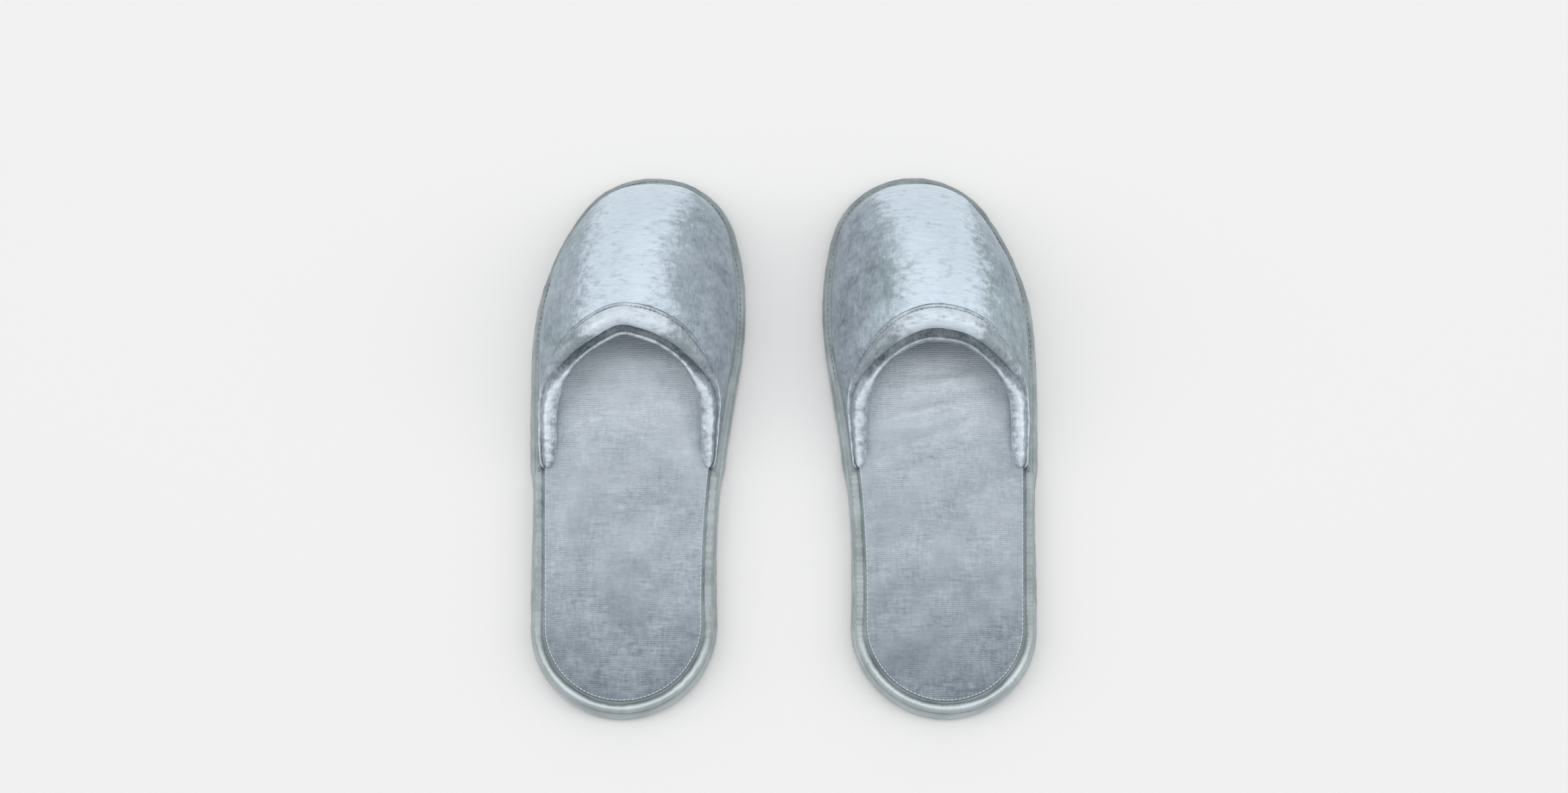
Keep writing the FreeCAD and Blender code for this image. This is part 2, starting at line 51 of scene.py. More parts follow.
MM = 0.001
PAIR_SPACING = 155.4
SOLE_LENGTH = 285.0
HEEL_RADIUS = 45.0
TOE_RADIUS = 44.0
TOE_OFFSET = 9.8
LATERAL_REACH = 50.1
LATERAL_BALL = 138.6
MEDIAL_REACH = 57.9
MEDIAL_BALL = 172.8
WAIST = 589.5

OUTSOLE_TOP = 5.0
OUTSOLE_INSET = 1.3
TREAD_PITCH = 9.0
TREAD_WIDTH = 2.4
TREAD_DEPTH = 0.9
TREAD_MARGIN = 9.0
BAND_TOP = 7.2
BAND_LIP_INSET = 6.8
BOARD_TOP = 6.2
FOAM_TOP = 10.2
FOAM_INSET = 7.2
COVER_TOP = 11.8
COVER_INSET = 6.9
ROLL_INSET = 3.8
ROLL_RADIUS = 2.4

VAMP_INSET = 3.8
VAMP_HEIGHT = 40.5
VAMP_PEAK = 200.0
VAMP_START = 100.0
TOE_SET_BACK = 2.0
EDGE_ROUNDING = 1.8
COLLAR_END = 123.5
OPENING_HALF_WIDTH = 38.2
OPENING_OFFSET = 0.8
OPENING_MIDDLE = 147.0
COLLAR_ROLL = 4.5
BAND_AT_THROAT = 7.5
BAND_AT_SIDE = 3.5
COLLAR_EASING = 2.5

BEND_START = 121.0
BEND_END = 89.0


# ---------------------------------------------------------------- outline of the sole

def unit(vectors):
    return vectors / np.maximum(np.linalg.norm(vectors, axis=-1, keepdims=True), 1e-9)


def circle_meeting(first, first_distance, second, second_distance):
    """The right-hand point at the given distances from two centres."""
    gap = second - first
    length = np.hypot(*gap)
    along = (first_distance ** 2 - second_distance ** 2 + length ** 2) / (2 * length)
    across = math.sqrt(first_distance ** 2 - along ** 2)
    gap = gap / length
    return first + gap * along + np.array([gap[1], -gap[0]]) * across


def angle_of(centre, point):
    return math.atan2(point[1] - centre[1], point[0] - centre[0])


def outline_table(step=0.25):
    """Points and outward normals along the outline, anticlockwise from the back of the heel."""
    heel = np.array([0.0, HEEL_RADIUS])
    toe = np.array([TOE_OFFSET, SOLE_LENGTH - TOE_RADIUS])

    def ball_centre(radius, x):
        drop = math.sqrt((radius - TOE_RADIUS) ** 2 - (x - TOE_OFFSET) ** 2)
        return np.array([x, toe[1] - drop])

    lateral = ball_centre(LATERAL_BALL, LATERAL_BALL - LATERAL_REACH)
    medial = ball_centre(MEDIAL_BALL, MEDIAL_REACH - MEDIAL_BALL)
    waist = circle_meeting(heel, HEEL_RADIUS + WAIST, medial, MEDIAL_BALL + WAIST)
    reach = np.hypot(*(lateral - heel))
    lean = angle_of(heel, lateral) + math.pi - math.acos((LATERAL_BALL - HEEL_RADIUS) / reach)
    side = np.array([math.cos(lean), math.sin(lean)])
    to_waist = angle_of(heel, waist)
    medial_to_waist = angle_of(medial, waist)
    medial_to_toe = angle_of(medial, toe)
    lateral_to_toe = angle_of(lateral, toe)
    points, normals = [], []

    def add_arc(centre, radius, start, end, outward=1):
        count = max(2, int(radius * abs(end - start) / step))
        angles = np.linspace(start, end, count, endpoint=False)
        rays = np.stack([np.cos(angles), np.sin(angles)], 1)
        points.append(centre + radius * rays)
        normals.append(outward * rays)

    add_arc(heel, HEEL_RADIUS, -math.pi / 2, to_waist)
    add_arc(waist, WAIST, math.pi + to_waist, math.pi + medial_to_waist, outward=-1)
    add_arc(medial, MEDIAL_BALL, medial_to_waist, medial_to_toe)
    add_arc(toe, TOE_RADIUS, medial_to_toe, lateral_to_toe)
    add_arc(lateral, LATERAL_BALL, lateral_to_toe, lean)
    top = lateral + LATERAL_BALL * side
    bottom = heel + HEEL_RADIUS * side
    count = int(np.hypot(*(top - bottom)) / step)
    share = np.linspace(0, 1, count, endpoint=False)[:, None]
    points.append(top + (bottom - top) * share)
    normals.append(np.repeat(side[None], count, 0))
    add_arc(heel, HEEL_RADIUS, lean, 1.5 * math.pi)
    points, normals = np.concatenate(points), np.concatenate(normals)
    steps = np.hypot(*(np.roll(points, -1, 0) - points).T)
    return points, normals, np.concatenate([[0], np.cumsum(steps)[:-1]]), steps.sum()


EDGE, EDGE_OUT, EDGE_AT, EDGE_LENGTH = outline_table()
TOE_TIP = int(np.argmax(EDGE[:, 1]))


def outline(distance, inset=0.0):
    """Points (mm) at distances along the outline, moved in by `inset`, and the normals there."""
    def read(values):
        return np.interp(distance, EDGE_AT, values, period=EDGE_LENGTH)
    normals = unit(np.stack([read(EDGE_OUT[:, 0]), read(EDGE_OUT[:, 1])], -1))
    points = np.stack([read(EDGE[:, 0]), read(EDGE[:, 1])], -1)
    return points - normals * np.asarray(inset)[..., None], normals


def sides_at(y, inset):
    """The outline's X on the outer side and on the inner side at a distance from the heel."""
    inner = EDGE[:TOE_TIP + 1] - EDGE_OUT[:TOE_TIP + 1] * inset
    outer = (EDGE[TOE_TIP:] - EDGE_OUT[TOE_TIP:] * inset)[::-1]
    return np.interp(y, outer[:, 1], outer[:, 0]), np.interp(y, inner[:, 1], inner[:, 0])


def distance_at(y, inner_side):
    """How far along the outline a side reaches a distance from the heel."""
    if inner_side:
        return np.interp(y, EDGE[:TOE_TIP + 1, 1], EDGE_AT[:TOE_TIP + 1])
    return np.interp(y, EDGE[TOE_TIP:, 1][::-1], EDGE_AT[TOE_TIP:][::-1])


def dome_height(x, y, lift=0.0):
    """Height of the upper's surface moved out by `lift`, over a point of the plan."""
    inset = VAMP_INSET - lift
    outer, inner = sides_at(y, inset)
    tip = SOLE_LENGTH - inset - TOE_SET_BACK
    back = np.clip((y - VAMP_START) / (VAMP_PEAK - VAMP_START), 0, 1)
    front = np.clip((y - VAMP_PEAK) / (tip - VAMP_PEAK), 0, 1)
    rise = np.where(y < VAMP_PEAK, np.sin(back * math.pi / 2) ** 1.1, np.sqrt(1 - front ** 2))
    share = 1 - ((2 * x - outer - inner) / np.maximum(inner - outer, 1e-6)) ** 2
    return BAND_TOP + (VAMP_HEIGHT + lift) * rise * np.sqrt(np.clip(share, 0, 1))


# ---------------------------------------------------------------- small tools

def soft_noise(points, size, seed, waves=7):
    """Smooth random waves of about the given wavelength, roughly between -1 and 1."""
    draw = np.random.default_rng(seed)
    total = np.zeros(points.shape[:-1])
    for _ in range(waves):
        way = draw.normal(size=points.shape[-1])
        way *= draw.uniform(0.7, 1.4) / np.linalg.norm(way)
        total += np.sin(points @ way * (2 * math.pi / size) + draw.uniform(0, 2 * math.pi))
    return total / math.sqrt(waves)


def smooth_step(value, low, high):
    share = np.clip((value - low) / (high - low), 0, 1)
    return share * share * (3 - 2 * share)


def near(value, middle, width):
    return np.exp(-((value - middle) / width) ** 2)


def grid_quads(rows, columns, wrap_rows=False, wrap_columns=False):
    """Corner numbers of the quads between neighbouring points of a grid."""
    index = np.arange(rows * columns).reshape(rows, columns)
    if wrap_rows:
        index = np.concatenate([index, index[:1]])
    if wrap_columns:
        index = np.concatenate([index, index[:, :1]], 1)
    return np.stack([index[:-1, :-1], index[1:, :-1], index[1:, 1:], index[:-1, 1:]], -1).reshape(-1, 4)


def tube_quads(rows, columns):
    """Quads of a tube of loops, each of an even count of points, with its two ends closed."""
    nearer = np.arange(columns // 2)
    further = columns - 1 - nearer
    first = np.stack([nearer[:-1], nearer[1:], further[1:], further[:-1]], -1)
    last = first[:, ::-1] + (rows - 1) * columns
    return np.concatenate([grid_quads(rows, columns, wrap_columns=True), first, last])


def grid_normals(points):
    return unit(np.cross(np.gradient(points, axis=0), np.gradient(points, axis=1)))


def rounded_path(corners, count, width=1.0):
    """`count` evenly spaced points along a path with its corners rounded off.

    width: mm of one unit of the corners' first number.
    """
    path = np.array(corners, dtype=float)
    for _ in range(2):
        before = path[:-1] * 0.75 + path[1:] * 0.25
        after = path[:-1] * 0.25 + path[1:] * 0.75
        middle = np.stack([before, after], 1).reshape(-1, 2)
        path = np.concatenate([path[:1], middle, path[-1:]])
    steps = np.diff(path, axis=0) * (width, 1)
    run = np.concatenate([[0], np.cumsum(np.hypot(*steps.T))])
    at = np.linspace(0, run[-1], count)
    return np.stack([np.interp(at, run, path[:, 0]), np.interp(at, run, path[:, 1])], 1)


def closed_section(top, bottom, top_count, bottom_count, width=1.0):
    """A closed cross-section: over the top one way and back along the bottom."""
    return np.concatenate([rounded_path(top, top_count, width),
                           rounded_path(bottom, bottom_count, width)[1:-1]])


def puffed(grid, held, pressure, most, step=6):
    """How far a padded cloth swells: a cloth simulation of every `step`-th point of a grid (mm).

    held: true where a seam holds the cloth; pressure: of the padding on it; most: mm that a point
    may move. Gives the move of each point of the whole grid.
    """
    rows, columns = (np.unique(np.append(np.arange(0, size, step), size - 1)) for size in grid.shape[:2])
    coarse = grid[np.ix_(rows, columns)]
    mesh = bpy.data.meshes.new("puffed")
    mesh.from_pydata((coarse.reshape(-1, 3) * MM).tolist(), [],
                     grid_quads(len(rows), len(columns))[:, ::-1].tolist())
    cloth = bpy.data.objects.new("puffed", mesh)
    scene = bpy.context.scene
    scene.collection.objects.link(cloth)
    seam = cloth.vertex_groups.new(name="seam")
    seam.add(np.flatnonzero(held[np.ix_(rows, columns)]).tolist(), 1.0, "REPLACE")
    solver = cloth.modifiers.new("cloth", "CLOTH")
    solver.settings.use_pressure = True
    solver.settings.uniform_pressure_force = pressure
    solver.settings.vertex_group_mass = "seam"
    solver.settings.bending_stiffness = 0.3
    solver.settings.effector_weights.gravity = 0.0
    for number in range(1, 21):
        scene.frame_set(number)
    settled = cloth.evaluated_get(bpy.context.evaluated_depsgraph_get()).data
    end = np.empty(len(settled.vertices) * 3)
    settled.vertices.foreach_get("co", end)
    scene.frame_set(1)
    bpy.data.objects.remove(cloth)
    bpy.data.meshes.remove(mesh)
    move = end.reshape(coarse.shape) / MM - coarse
    size = np.linalg.norm(move, axis=-1, keepdims=True)
    move *= np.minimum(1, most / np.maximum(size, 1e-9))
    for axis, known in ((1, columns), (0, rows)):
        wanted = np.arange(grid.shape[axis])
        move = np.apply_along_axis(lambda line: np.interp(wanted, known, line), axis, move)
    return move


class Slipper:
    """Makes the pieces of one slipper of the pair."""

    def __init__(self, side):
        self.side = side
        self.sign = -1 if side == "left" else 1
        self.seed = 10 if side == "left" else 500

    def place(self, points):
        """Millimetres of one slipper to metres of the pair."""
        placed = np.array(points, dtype=float)
        placed[..., 0] = self.sign * (PAIR_SPACING / 2 - placed[..., 0])
        placed[..., 1] -= SOLE_LENGTH / 2
        return placed * MM

    def uneven(self, points, first, *waves):
        """Smooth noise (mm) of several (wavelength, height) waves, with seeds from `first` on."""
        return sum(height * soft_noise(points, size, self.seed + first + number)
                   for number, (size, height) in enumerate(waves))

    def piece(self, name, node, points, quads, material, slot, grain=None, painted_light=None, bends=False,
              fill=None):
        """A mesh from points (mm) and quads that stands for a CAD node.

        grain: flat coordinates of the cloth; nap: painted light, painted shade near 0 and painted highlight
        at 1;
        bends: for a layer of the sole; fill: not used.
        """
        flat = np.asarray(points, dtype=float).reshape(-1, 3)
        faces = np.asarray(quads)
        if self.sign > 0:
            faces = faces[:, ::-1]
        mesh = bpy.data.meshes.new(f"{self.side}_{name}")
        mesh.from_pydata(self.place(flat).tolist(), [], faces.tolist())
        rest = mesh.attributes.new("rest", "FLOAT_VECTOR", "POINT")
        shift = np.array([0.0, 0.0, 0.0 if self.sign < 0 else 0.37])
        rest.data.foreach_set("vector", (flat * MM + shift).astype(np.float32).ravel())
        # Painted light per point: painted highlight where it is high, painted shade where it is low.
        if painted_light is not None:
            painted_light_share = mesh.attributes.new("painted_light", "FLOAT", "POINT")
            everywhere = np.broadcast_to(painted_light, np.shape(points)[:-1])
            painted_light_share.data.foreach_set("value", everywhere.astype(np.float32).ravel())
        if grain is not None:
            layer = mesh.uv_layers.new(name="grain")
            corners = np.asarray(grain, dtype=float).reshape(-1, 2)[faces.ravel()] * MM
            layer.uv.foreach_set("vector", corners.astype(np.float32).ravel())
        mesh.validate()
        mesh.shade_smooth()
        mesh.materials.append(material)
        item = bpy.data.objects.new(f"{self.side}_{name}", mesh)
        bpy.context.scene.collection.objects.link(item)
        if bends:
            start, end = (tuple(self.place((0, station, 0))) for station in (BEND_START, BEND_END))
            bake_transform(item)
            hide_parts(f"{self.side}_{node}_front", f"{self.side}_{node}_heel")
        else:
            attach(item, f"{self.side}_front")
            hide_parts(f"{self.side}_{node}")


# ---------------------------------------------------------------- materials

class Shades:
    """The nodes of one material. Most methods add a node and give its output."""

    def __init__(self, name):
        self.material = bpy.data.materials.new(name)
        self.material.use_nodes = True
        self.tree = self.material.node_tree

    def put(self, socket, value):
        if isinstance(value, bpy.types.NodeSocket):
            self.tree.links.new(value, socket)
        else:
            socket.default_value = value

    def add(self, kind, output, settings=None, **inputs):
        """An input is a value or another node's output, by its name or by i and its number."""
        node = self.tree.nodes.new("ShaderNode" + kind)
        for name, value in (settings or {}).items():
            setattr(node, name, value)
        for name, value in inputs.items():
            key = int(name[1:]) if name[1:].isdigit() else name.replace("_", " ")
            self.put(node.inputs[key], value)
        return node.outputs[output]

    # Per-point painted light: painted highlight where high, painted shade where low.
    def painted_light(self):
        return self.add("Attribute", "Fac", {"attribute_name": "painted_light"})

    def rest(self, stretch=(1, 1, 1), turn=0.0):
        """Coordinates in metres that stay with the cloth when it bends."""
        source = self.add("Attribute", "Vector", {"attribute_name": "rest"})
        return self.add("Mapping", "Vector", Vector=source, Rotation=(0, 0, turn), Scale=stretch)

    def grain(self, stretch=(1, 1, 1)):
        """Coordinates in metres along and across a strip of cloth."""
        source = self.add("UVMap", "UV", {"uv_map": "grain"})
        return self.add("Mapping", "Vector", Vector=source, Scale=stretch)

    def noise(self, scale, detail=2.0, rough=0.5, distortion=0.0, place=None):
        return self.add("TexNoise", "Fac", Vector=place or self.rest(), Scale=scale, Detail=detail,
                        Roughness=rough, Distortion=distortion)

    def bands(self, direction, place, scale, distortion, **more):
        return self.add("TexWave", "Fac", {"bands_direction": direction}, Vector=place, Scale=scale,
                        Distortion=distortion, **more)

    def cells(self, scale):
        return self.add("TexVoronoi", "Distance", Vector=self.rest(), Scale=scale)

    def spread(self, value, low, high, to_low=0.0, to_high=1.0):
        return self.add("MapRange", "Result", Value=value, From_Min=low, From_Max=high,
                        To_Min=to_low, To_Max=to_high)

    def ranged(self, value, to_low, to_high):
        """Noise, which lies mostly between 0.3 and 0.7, spread between two values."""
        return self.spread(value, 0.3, 0.7, to_low, to_high)

    def math(self, operation, first, second):
        return self.add("Math", 0, {"operation": operation}, i0=first, i1=second)

    def total(self, first, *others):
        for other in others:
            first = self.math("ADD", first, other)
        return first

    def times(self, value, factor):
        return self.math("MULTIPLY", value, factor)

    def mix(self, share, first, second):
        return self.add("Mix", 0, i0=share, i2=first, i3=second)

    def mix_colour(self, share, first, second):
        return self.add("Mix", 2, {"data_type": "RGBA"}, i0=share, i6=first, i7=second)

    def bump(self, height, strength, distance, **below):
        return self.add("Bump", "Normal", Height=height, Strength=strength, Distance=distance, **below)

    def finish(self, colour, rough, normal, sheen=0.3, sheen_rough=0.5, specular=0.4, metallic=0.0):
        """The material, with a coolly tinted sheen."""
        values = {"Base Color": colour, "Roughness": rough, "Normal": normal, "Sheen Weight": sheen,
                  "Sheen Roughness": sheen_rough, "Sheen Tint": (0.8, 0.9, 1.0, 1),
                  "Specular IOR Level": specular, "Metallic": metallic}
        for name, value in values.items():
            self.put(self.tree.nodes["Principled BSDF"].inputs[name], value)
        return self.material


def velour(name, dark, light):
    """Short pile: the light colour as painted highlight where a piece's painted light is high, darker and
    mottled as painted shade where it is low, with fine fibres that lie across the slipper in the
    painted highlight and slant elsewhere."""
    shades = Shades(name)
    painted_light_share = shades.painted_light()
    broad = shades.noise(38.0)
    patches = shades.noise(110.0, 4.0, 0.6, 0.5)
    mottle = shades.noise(330.0, 3.0, 0.6, place=shades.rest((0.7, 1, 1)))
    across = shades.noise(620.0, 3.0, 0.6, place=shades.rest((0.22, 1, 1)))
    slants = [shades.noise(900.0, 3.0, place=shades.rest((1, 0.28, 1), math.radians(turn)))
              for turn in (38, -30)]
    slanting = shades.mix(shades.spread(patches, 0.42, 0.58), *slants)
    fibres = shades.mix(shades.spread(painted_light_share, 0.3, 0.9), slanting, across)
    ragged = shades.total(shades.ranged(fibres, -0.16, 0.16), shades.ranged(mottle, -0.20, 0.20),
                          shades.ranged(patches, -0.14, 0.14))
    # Painted highlight: the tone rises to the light colour where the painted light is high.
    flat = shades.spread(shades.total(painted_light_share, ragged), 0.42, 0.95)
    # Off the highlight: mottled painted shade, a little lighter nearer the highlight.
    mottled_painted_shade = shades.total(shades.ranged(mottle, -0.06, 0.10), shades.ranged(fibres, -0.08, 0.12),
                           shades.ranged(patches, 0.08, 0.30),
                           shades.spread(broad, 0.35, 0.65, -0.05, 0.08), shades.times(painted_light_share, 0.30))
    tone = shades.mix(flat, mottled_painted_shade, shades.ranged(fibres, 0.86, 1.0))
    tint = shades.noise(30.0, 3.0, place=shades.rest((1, 0.6, 1)))
    cool = (dark[0] * 0.94, dark[1] * 1.03, dark[2] * 0.95, 1)
    warm = (dark[0] * 1.05, dark[1] * 0.99, dark[2] * 1.04, 1)
    shade = shades.mix_colour(shades.spread(tint, 0.42, 0.58), cool, warm)
    rough = shades.spread(tone, 0.0, 1.0, 0.55, 0.40)
    normal = shades.bump(mottle, 0.35, 0.0007, Normal=shades.bump(fibres, 0.5, 0.0004))
    return shades.finish(shades.mix_colour(tone, shade, light), rough, normal, 0.2, 0.4, 0.5, 0.25)


def terry():
    """Fine cloth with short ribs across the slipper and a faint waffle, darker towards the heel and lighter
    towards the throat as painted light.
    """
    shades = Shades("terry_cloth")
    wobble = shades.noise(150.0, 3.0, place=shades.rest((0.4, 1, 1)))
    rows = shades.bands("Y", shades.rest((0.5, 1, 1)), 310.0, 3.5, Detail=3.0, Detail_Scale=2.5)
    loops = shades.noise(640.0, 3.0, 0.65, place=shades.rest((0.16, 1, 1)))
    ribs = shades.mix(shades.spread(wobble, 0.40, 0.60, 0.25, 1.0),
                      shades.spread(rows, 0.0, 1.0, 0.28, 0.72), loops)
    fine = shades.noise(1500.0, 1.0, place=shades.rest((0.2, 1, 1)))
    warp = shades.noise(700.0, 2.0, place=shades.rest((1, 0.25, 1)))
    cloud = shades.noise(55.0, 4.0, 0.62)
    pattern = shades.total(shades.spread(ribs, 0.28, 0.72, 0.0, 0.55), shades.ranged(fine, 0.0, 0.2),
                           shades.ranged(warp, 0.0, 0.25))
    weight = shades.spread(shades.noise(45.0), 0.35, 0.6, 0.22, 0.60)
    contrast = shades.times(shades.math("SUBTRACT", pattern, 0.5), weight)
    tone = shades.total(contrast, shades.ranged(cloud, 0.33, 0.58))
    place = shades.add("Attribute", "Vector", {"attribute_name": "rest"})
    along = shades.add("SeparateXYZ", "Y", Vector=place)
    # Darker towards the heel; lighter towards the throat as painted light where the upper shades the cloth.
    darker_heel_and_painted_throat_light = shades.total(shades.spread(along, 0.010, 0.085, 0.34, 0.0),
                        shades.spread(along, 0.120, 0.188, 0.0, -0.55))
    tone = shades.spread(shades.math("SUBTRACT", tone, darker_heel_and_painted_throat_light), 0.0, 1.0)
    colour = shades.mix_colour(tone, (0.16, 0.20, 0.24, 1), (0.72, 0.79, 0.86, 1))
    rough = shades.spread(pattern, 0.2, 0.8, 0.6, 0.82)
    return shades.finish(colour, rough, shades.bump(pattern, 0.6, 0.0006), 0.2, 0.5, 0.35, 0.1)


def satin_edge():
    """Smooth binding cloth: fine weave, faint stains and long soft creases, with painted highlight and
    painted shade from each piece's painted light.
    """
    shades = Shades("edge_cloth")
    weave = shades.bands("DIAGONAL", shades.grain(), 520.0, 1.5)
    streaks = shades.noise(420.0, 3.0, place=shades.grain((0.12, 1, 1)))
    cloud = shades.noise(60.0, 3.0)
    tone = shades.total(shades.ranged(cloud, 0.0, 0.5), shades.ranged(streaks, 0.0, 0.4),
                        shades.times(weave, 0.1))
    # Each piece's painted light lifts the tone as painted highlight or lowers it as painted shade.
    tone = shades.total(shades.times(tone, 0.5), shades.times(shades.painted_light(), 0.6))
    colour = shades.mix_colour(tone, (0.15, 0.19, 0.19, 1), (0.66, 0.73, 0.76, 1))
    normal = shades.bump(streaks, 0.3, 0.0004, Normal=shades.bump(weave, 0.12, 0.0002))
    return shades.finish(colour, shades.ranged(streaks, 0.34, 0.48), normal, 0.15, 0.5, 0.5, 0.3)


def woven_lining():
    """Plain weave on the inside of the upper."""
    shades = Shades("lining_cloth")
    across, along = (shades.bands(way, shades.rest(), 330.0, 0.8) for way in ("X", "Y"))
    weave = shades.math("MAXIMUM", across, along)
    tone = shades.total(shades.times(weave, 0.4), shades.times(shades.noise(70.0, 3.0), 0.6))
    colour = shades.mix_colour(tone, (0.40, 0.46, 0.52, 1), (0.66, 0.72, 0.78, 1))
    rough = shades.spread(weave, 0.0, 1.0, 0.7, 0.85)
    return shades.finish(colour, rough, shades.bump(weave, 0.4, 0.0003), 0.2)


def sewing_thread(name, dark, light):
    """Twisted thread."""
    shades = Shades(name)
    ply = shades.bands("DIAGONAL", shades.grain(), 900.0, 0.4)
    fuzz = shades.noise(2500.0)
    tone = shades.total(shades.times(ply, 0.7), shades.times(fuzz, 0.3))
    return shades.finish(shades.mix_colour(tone, dark, light), shades.ranged(fuzz, 0.42, 0.6),
                         shades.bump(ply, 0.6, 0.0002), 0.2, specular=0.5)


def foam_rubber():
    """Moulded foam rubber with a fine pebbled skin and scuffed ribs."""
    shades = Shades("foam_rubber")
    scuffs = shades.noise(130.0, 5.0, 0.65, place=shades.rest((1, 0.35, 1)))
    cloud = shades.noise(25.0, 3.0)
    tone = shades.total(shades.spread(scuffs, 0.35, 0.7, 0.0, 0.55), shades.ranged(cloud, 0.0, 0.45))
    colour = shades.mix_colour(tone, (0.33, 0.37, 0.38, 1), (0.50, 0.54, 0.55, 1))
    normal = shades.bump(shades.cells(900.0), 0.35, 0.0003)
    return shades.finish(colour, shades.ranged(scuffs, 0.6, 0.85), normal, 0.0, specular=0.35)


def hidden_filling(name, dark, light, scale):
    """Foam, board or cord filling: open cells or fibres."""
    shades = Shades(name)
    cells = shades.cells(scale)
    cloud = shades.noise(scale / 10, 3.0)
    tone = shades.total(shades.times(cells, 0.5), shades.times(cloud, 0.5))
    return shades.finish(shades.mix_colour(tone, dark, light), shades.ranged(cloud, 0.75, 0.95),
                         shades.bump(cells, 0.4, 0.0004), 0.1, specular=0.3)


# ---------------------------------------------------------------- slabs: layers of the sole

def slab(rows_at, columns, wall, top, bottom):
    """A closed slab in the sole's outline.

    rows_at: distances from the heel of the rows across; wall: (inset, height) pairs down the edge;
    top and bottom: functions that give the heights over points of the plan.
    """
    inset = wall[0][0]
    inner = EDGE[:TOE_TIP + 1, 1] - EDGE_OUT[:TOE_TIP + 1, 1] * inset
    outer = EDGE[TOE_TIP:, 1] - EDGE_OUT[TOE_TIP:, 1] * inset
    inner_at = np.interp(rows_at, inner, EDGE_AT[:TOE_TIP + 1])
    outer_at = np.interp(rows_at, outer[::-1], EDGE_AT[TOE_TIP:][::-1])
    rows = len(rows_at)
    share = np.linspace(0, 1, columns)
    heel_at = (outer_at[0] - EDGE_LENGTH) + (inner_at[0] + EDGE_LENGTH - outer_at[0]) * share
    toe_at = outer_at[-1] + (inner_at[-1] - outer_at[-1]) * share
    rim_at = np.concatenate([heel_at, inner_at[1:-1], toe_at[::-1], outer_at[1:-1][::-1]])

    def sheet(edge_inset, height):
        left, _ = outline(outer_at, edge_inset)
        right, _ = outline(inner_at, edge_inset)
        plan = left[:, None] + (right - left)[:, None] * share[None, :, None]
        plan[0], _ = outline(heel_at, edge_inset)
        plan[-1], _ = outline(toe_at, edge_inset)
        return np.concatenate([plan, height(plan)[..., None]], -1).reshape(-1, 3)

    index = np.arange(rows * columns).reshape(rows, columns)
    rim = np.concatenate([index[0], index[1:-1, -1], index[-1, ::-1], index[1:-1, 0][::-1]])
    points = [sheet(inset, top)]
    quads = [grid_quads(rows, columns)[:, ::-1]]
    above = rim
    count = rows * columns
    for edge_inset, height in wall[1:-1]:
        plan, _ = outline(rim_at, edge_inset)
        points.append(np.concatenate([plan, np.full((len(plan), 1), height)], 1))
        ring = count + np.arange(len(rim))
        quads.append(np.stack([above, ring, np.roll(ring, -1), np.roll(above, -1)], -1))
        above = ring
        count += len(rim)
    points.append(sheet(wall[-1][0], bottom))
    below = rim + count
    quads.append(np.stack([above, below, np.roll(below, -1), np.roll(above, -1)], -1))
    quads.append(grid_quads(rows, columns) + count)
    return np.concatenate(points), np.concatenate(quads)


def even_rows(inset, step):
    """Rows that crowd together at the heel's and the toe's tips, where the outline turns."""
    turn = np.linspace(0, math.pi / 2, int(26 / step))[1:]
    tip = 30.0 * (1 - np.cos(turn))
    first, last = inset, SOLE_LENGTH - inset
    middle = np.arange(first + tip[-1] + step, last - tip[-1], step)
    return np.concatenate([first + tip, middle, (last - tip)[::-1]])


def level(height):
    """A function that gives one height for all points of a plan."""
    return lambda plan: np.full(plan.shape[:-1], float(height))


def distance_from_edge(plan, inset):
    """How far points of the plan lie inside the outline moved in by `inset`."""
    edge = (EDGE - EDGE_OUT * inset)[::6]
    flat = plan.reshape(-1, 2)
    nearest = np.full(len(flat), 1e9)
    for start in range(0, len(flat), 4000):
        part = flat[start:start + 4000]
        gaps = np.hypot(part[:, None, 0] - edge[None, :, 0], part[:, None, 1] - edge[None, :, 1])
        nearest[start:start + 4000] = gaps.min(1)
    return nearest.reshape(plan.shape[:-1])


def rubber_sole(slipper, material):
    """Foam rubber sole: rounded edges and grooves across the underside."""
    rows = list(even_rows(OUTSOLE_INSET + 0.6, 4.0))
    grooves = np.arange(TREAD_PITCH * 2, SOLE_LENGTH - TREAD_MARGIN - TREAD_WIDTH, TREAD_PITCH)
    half = TREAD_WIDTH / 2
    for groove in grooves:
        rows = [row for row in rows if abs(row - groove) > half + 0.9]
        rows += [groove + offset for offset in (-half - 0.3, -half + 0.1, -half + 0.5,
                                                half - 0.5, half - 0.1, half + 0.3)]
    rows = np.array(sorted(rows))

    def underside(plan):
        inside = smooth_step(distance_from_edge(plan, OUTSOLE_INSET), TREAD_MARGIN - 2, TREAD_MARGIN)
        nearest = np.abs(plan[..., 1][..., None] - grooves).min(-1)
        return TREAD_DEPTH * inside * (1 - smooth_step(nearest, half - 0.6, half + 0.2))

    wall = [(OUTSOLE_INSET + 0.6, OUTSOLE_TOP), (OUTSOLE_INSET + 0.15, OUTSOLE_TOP - 0.2),
            (OUTSOLE_INSET, OUTSOLE_TOP - 0.7), (OUTSOLE_INSET, 1.2), (OUTSOLE_INSET + 0.2, 0.55),
            (OUTSOLE_INSET + 0.6, 0.15), (OUTSOLE_INSET + 1.2, 0)]
    points, quads = slab(rows, 64, wall, level(OUTSOLE_TOP), underside)
    slipper.piece("rubber_sole", "outsole", points, quads, material, "eva_sole", bends=True)


def flat_layer(slipper, name, node, slot, wall, material, fill=None):
    """A layer of the sole, flat on top and underneath at the heights where its wall starts and ends."""
    points, quads = slab(even_rows(wall[0][0], 3.0), 30, wall, level(wall[0][1]), level(wall[-1][1]))
    slipper.piece(name, node, points, quads, material, slot, bends=True, fill=fill)


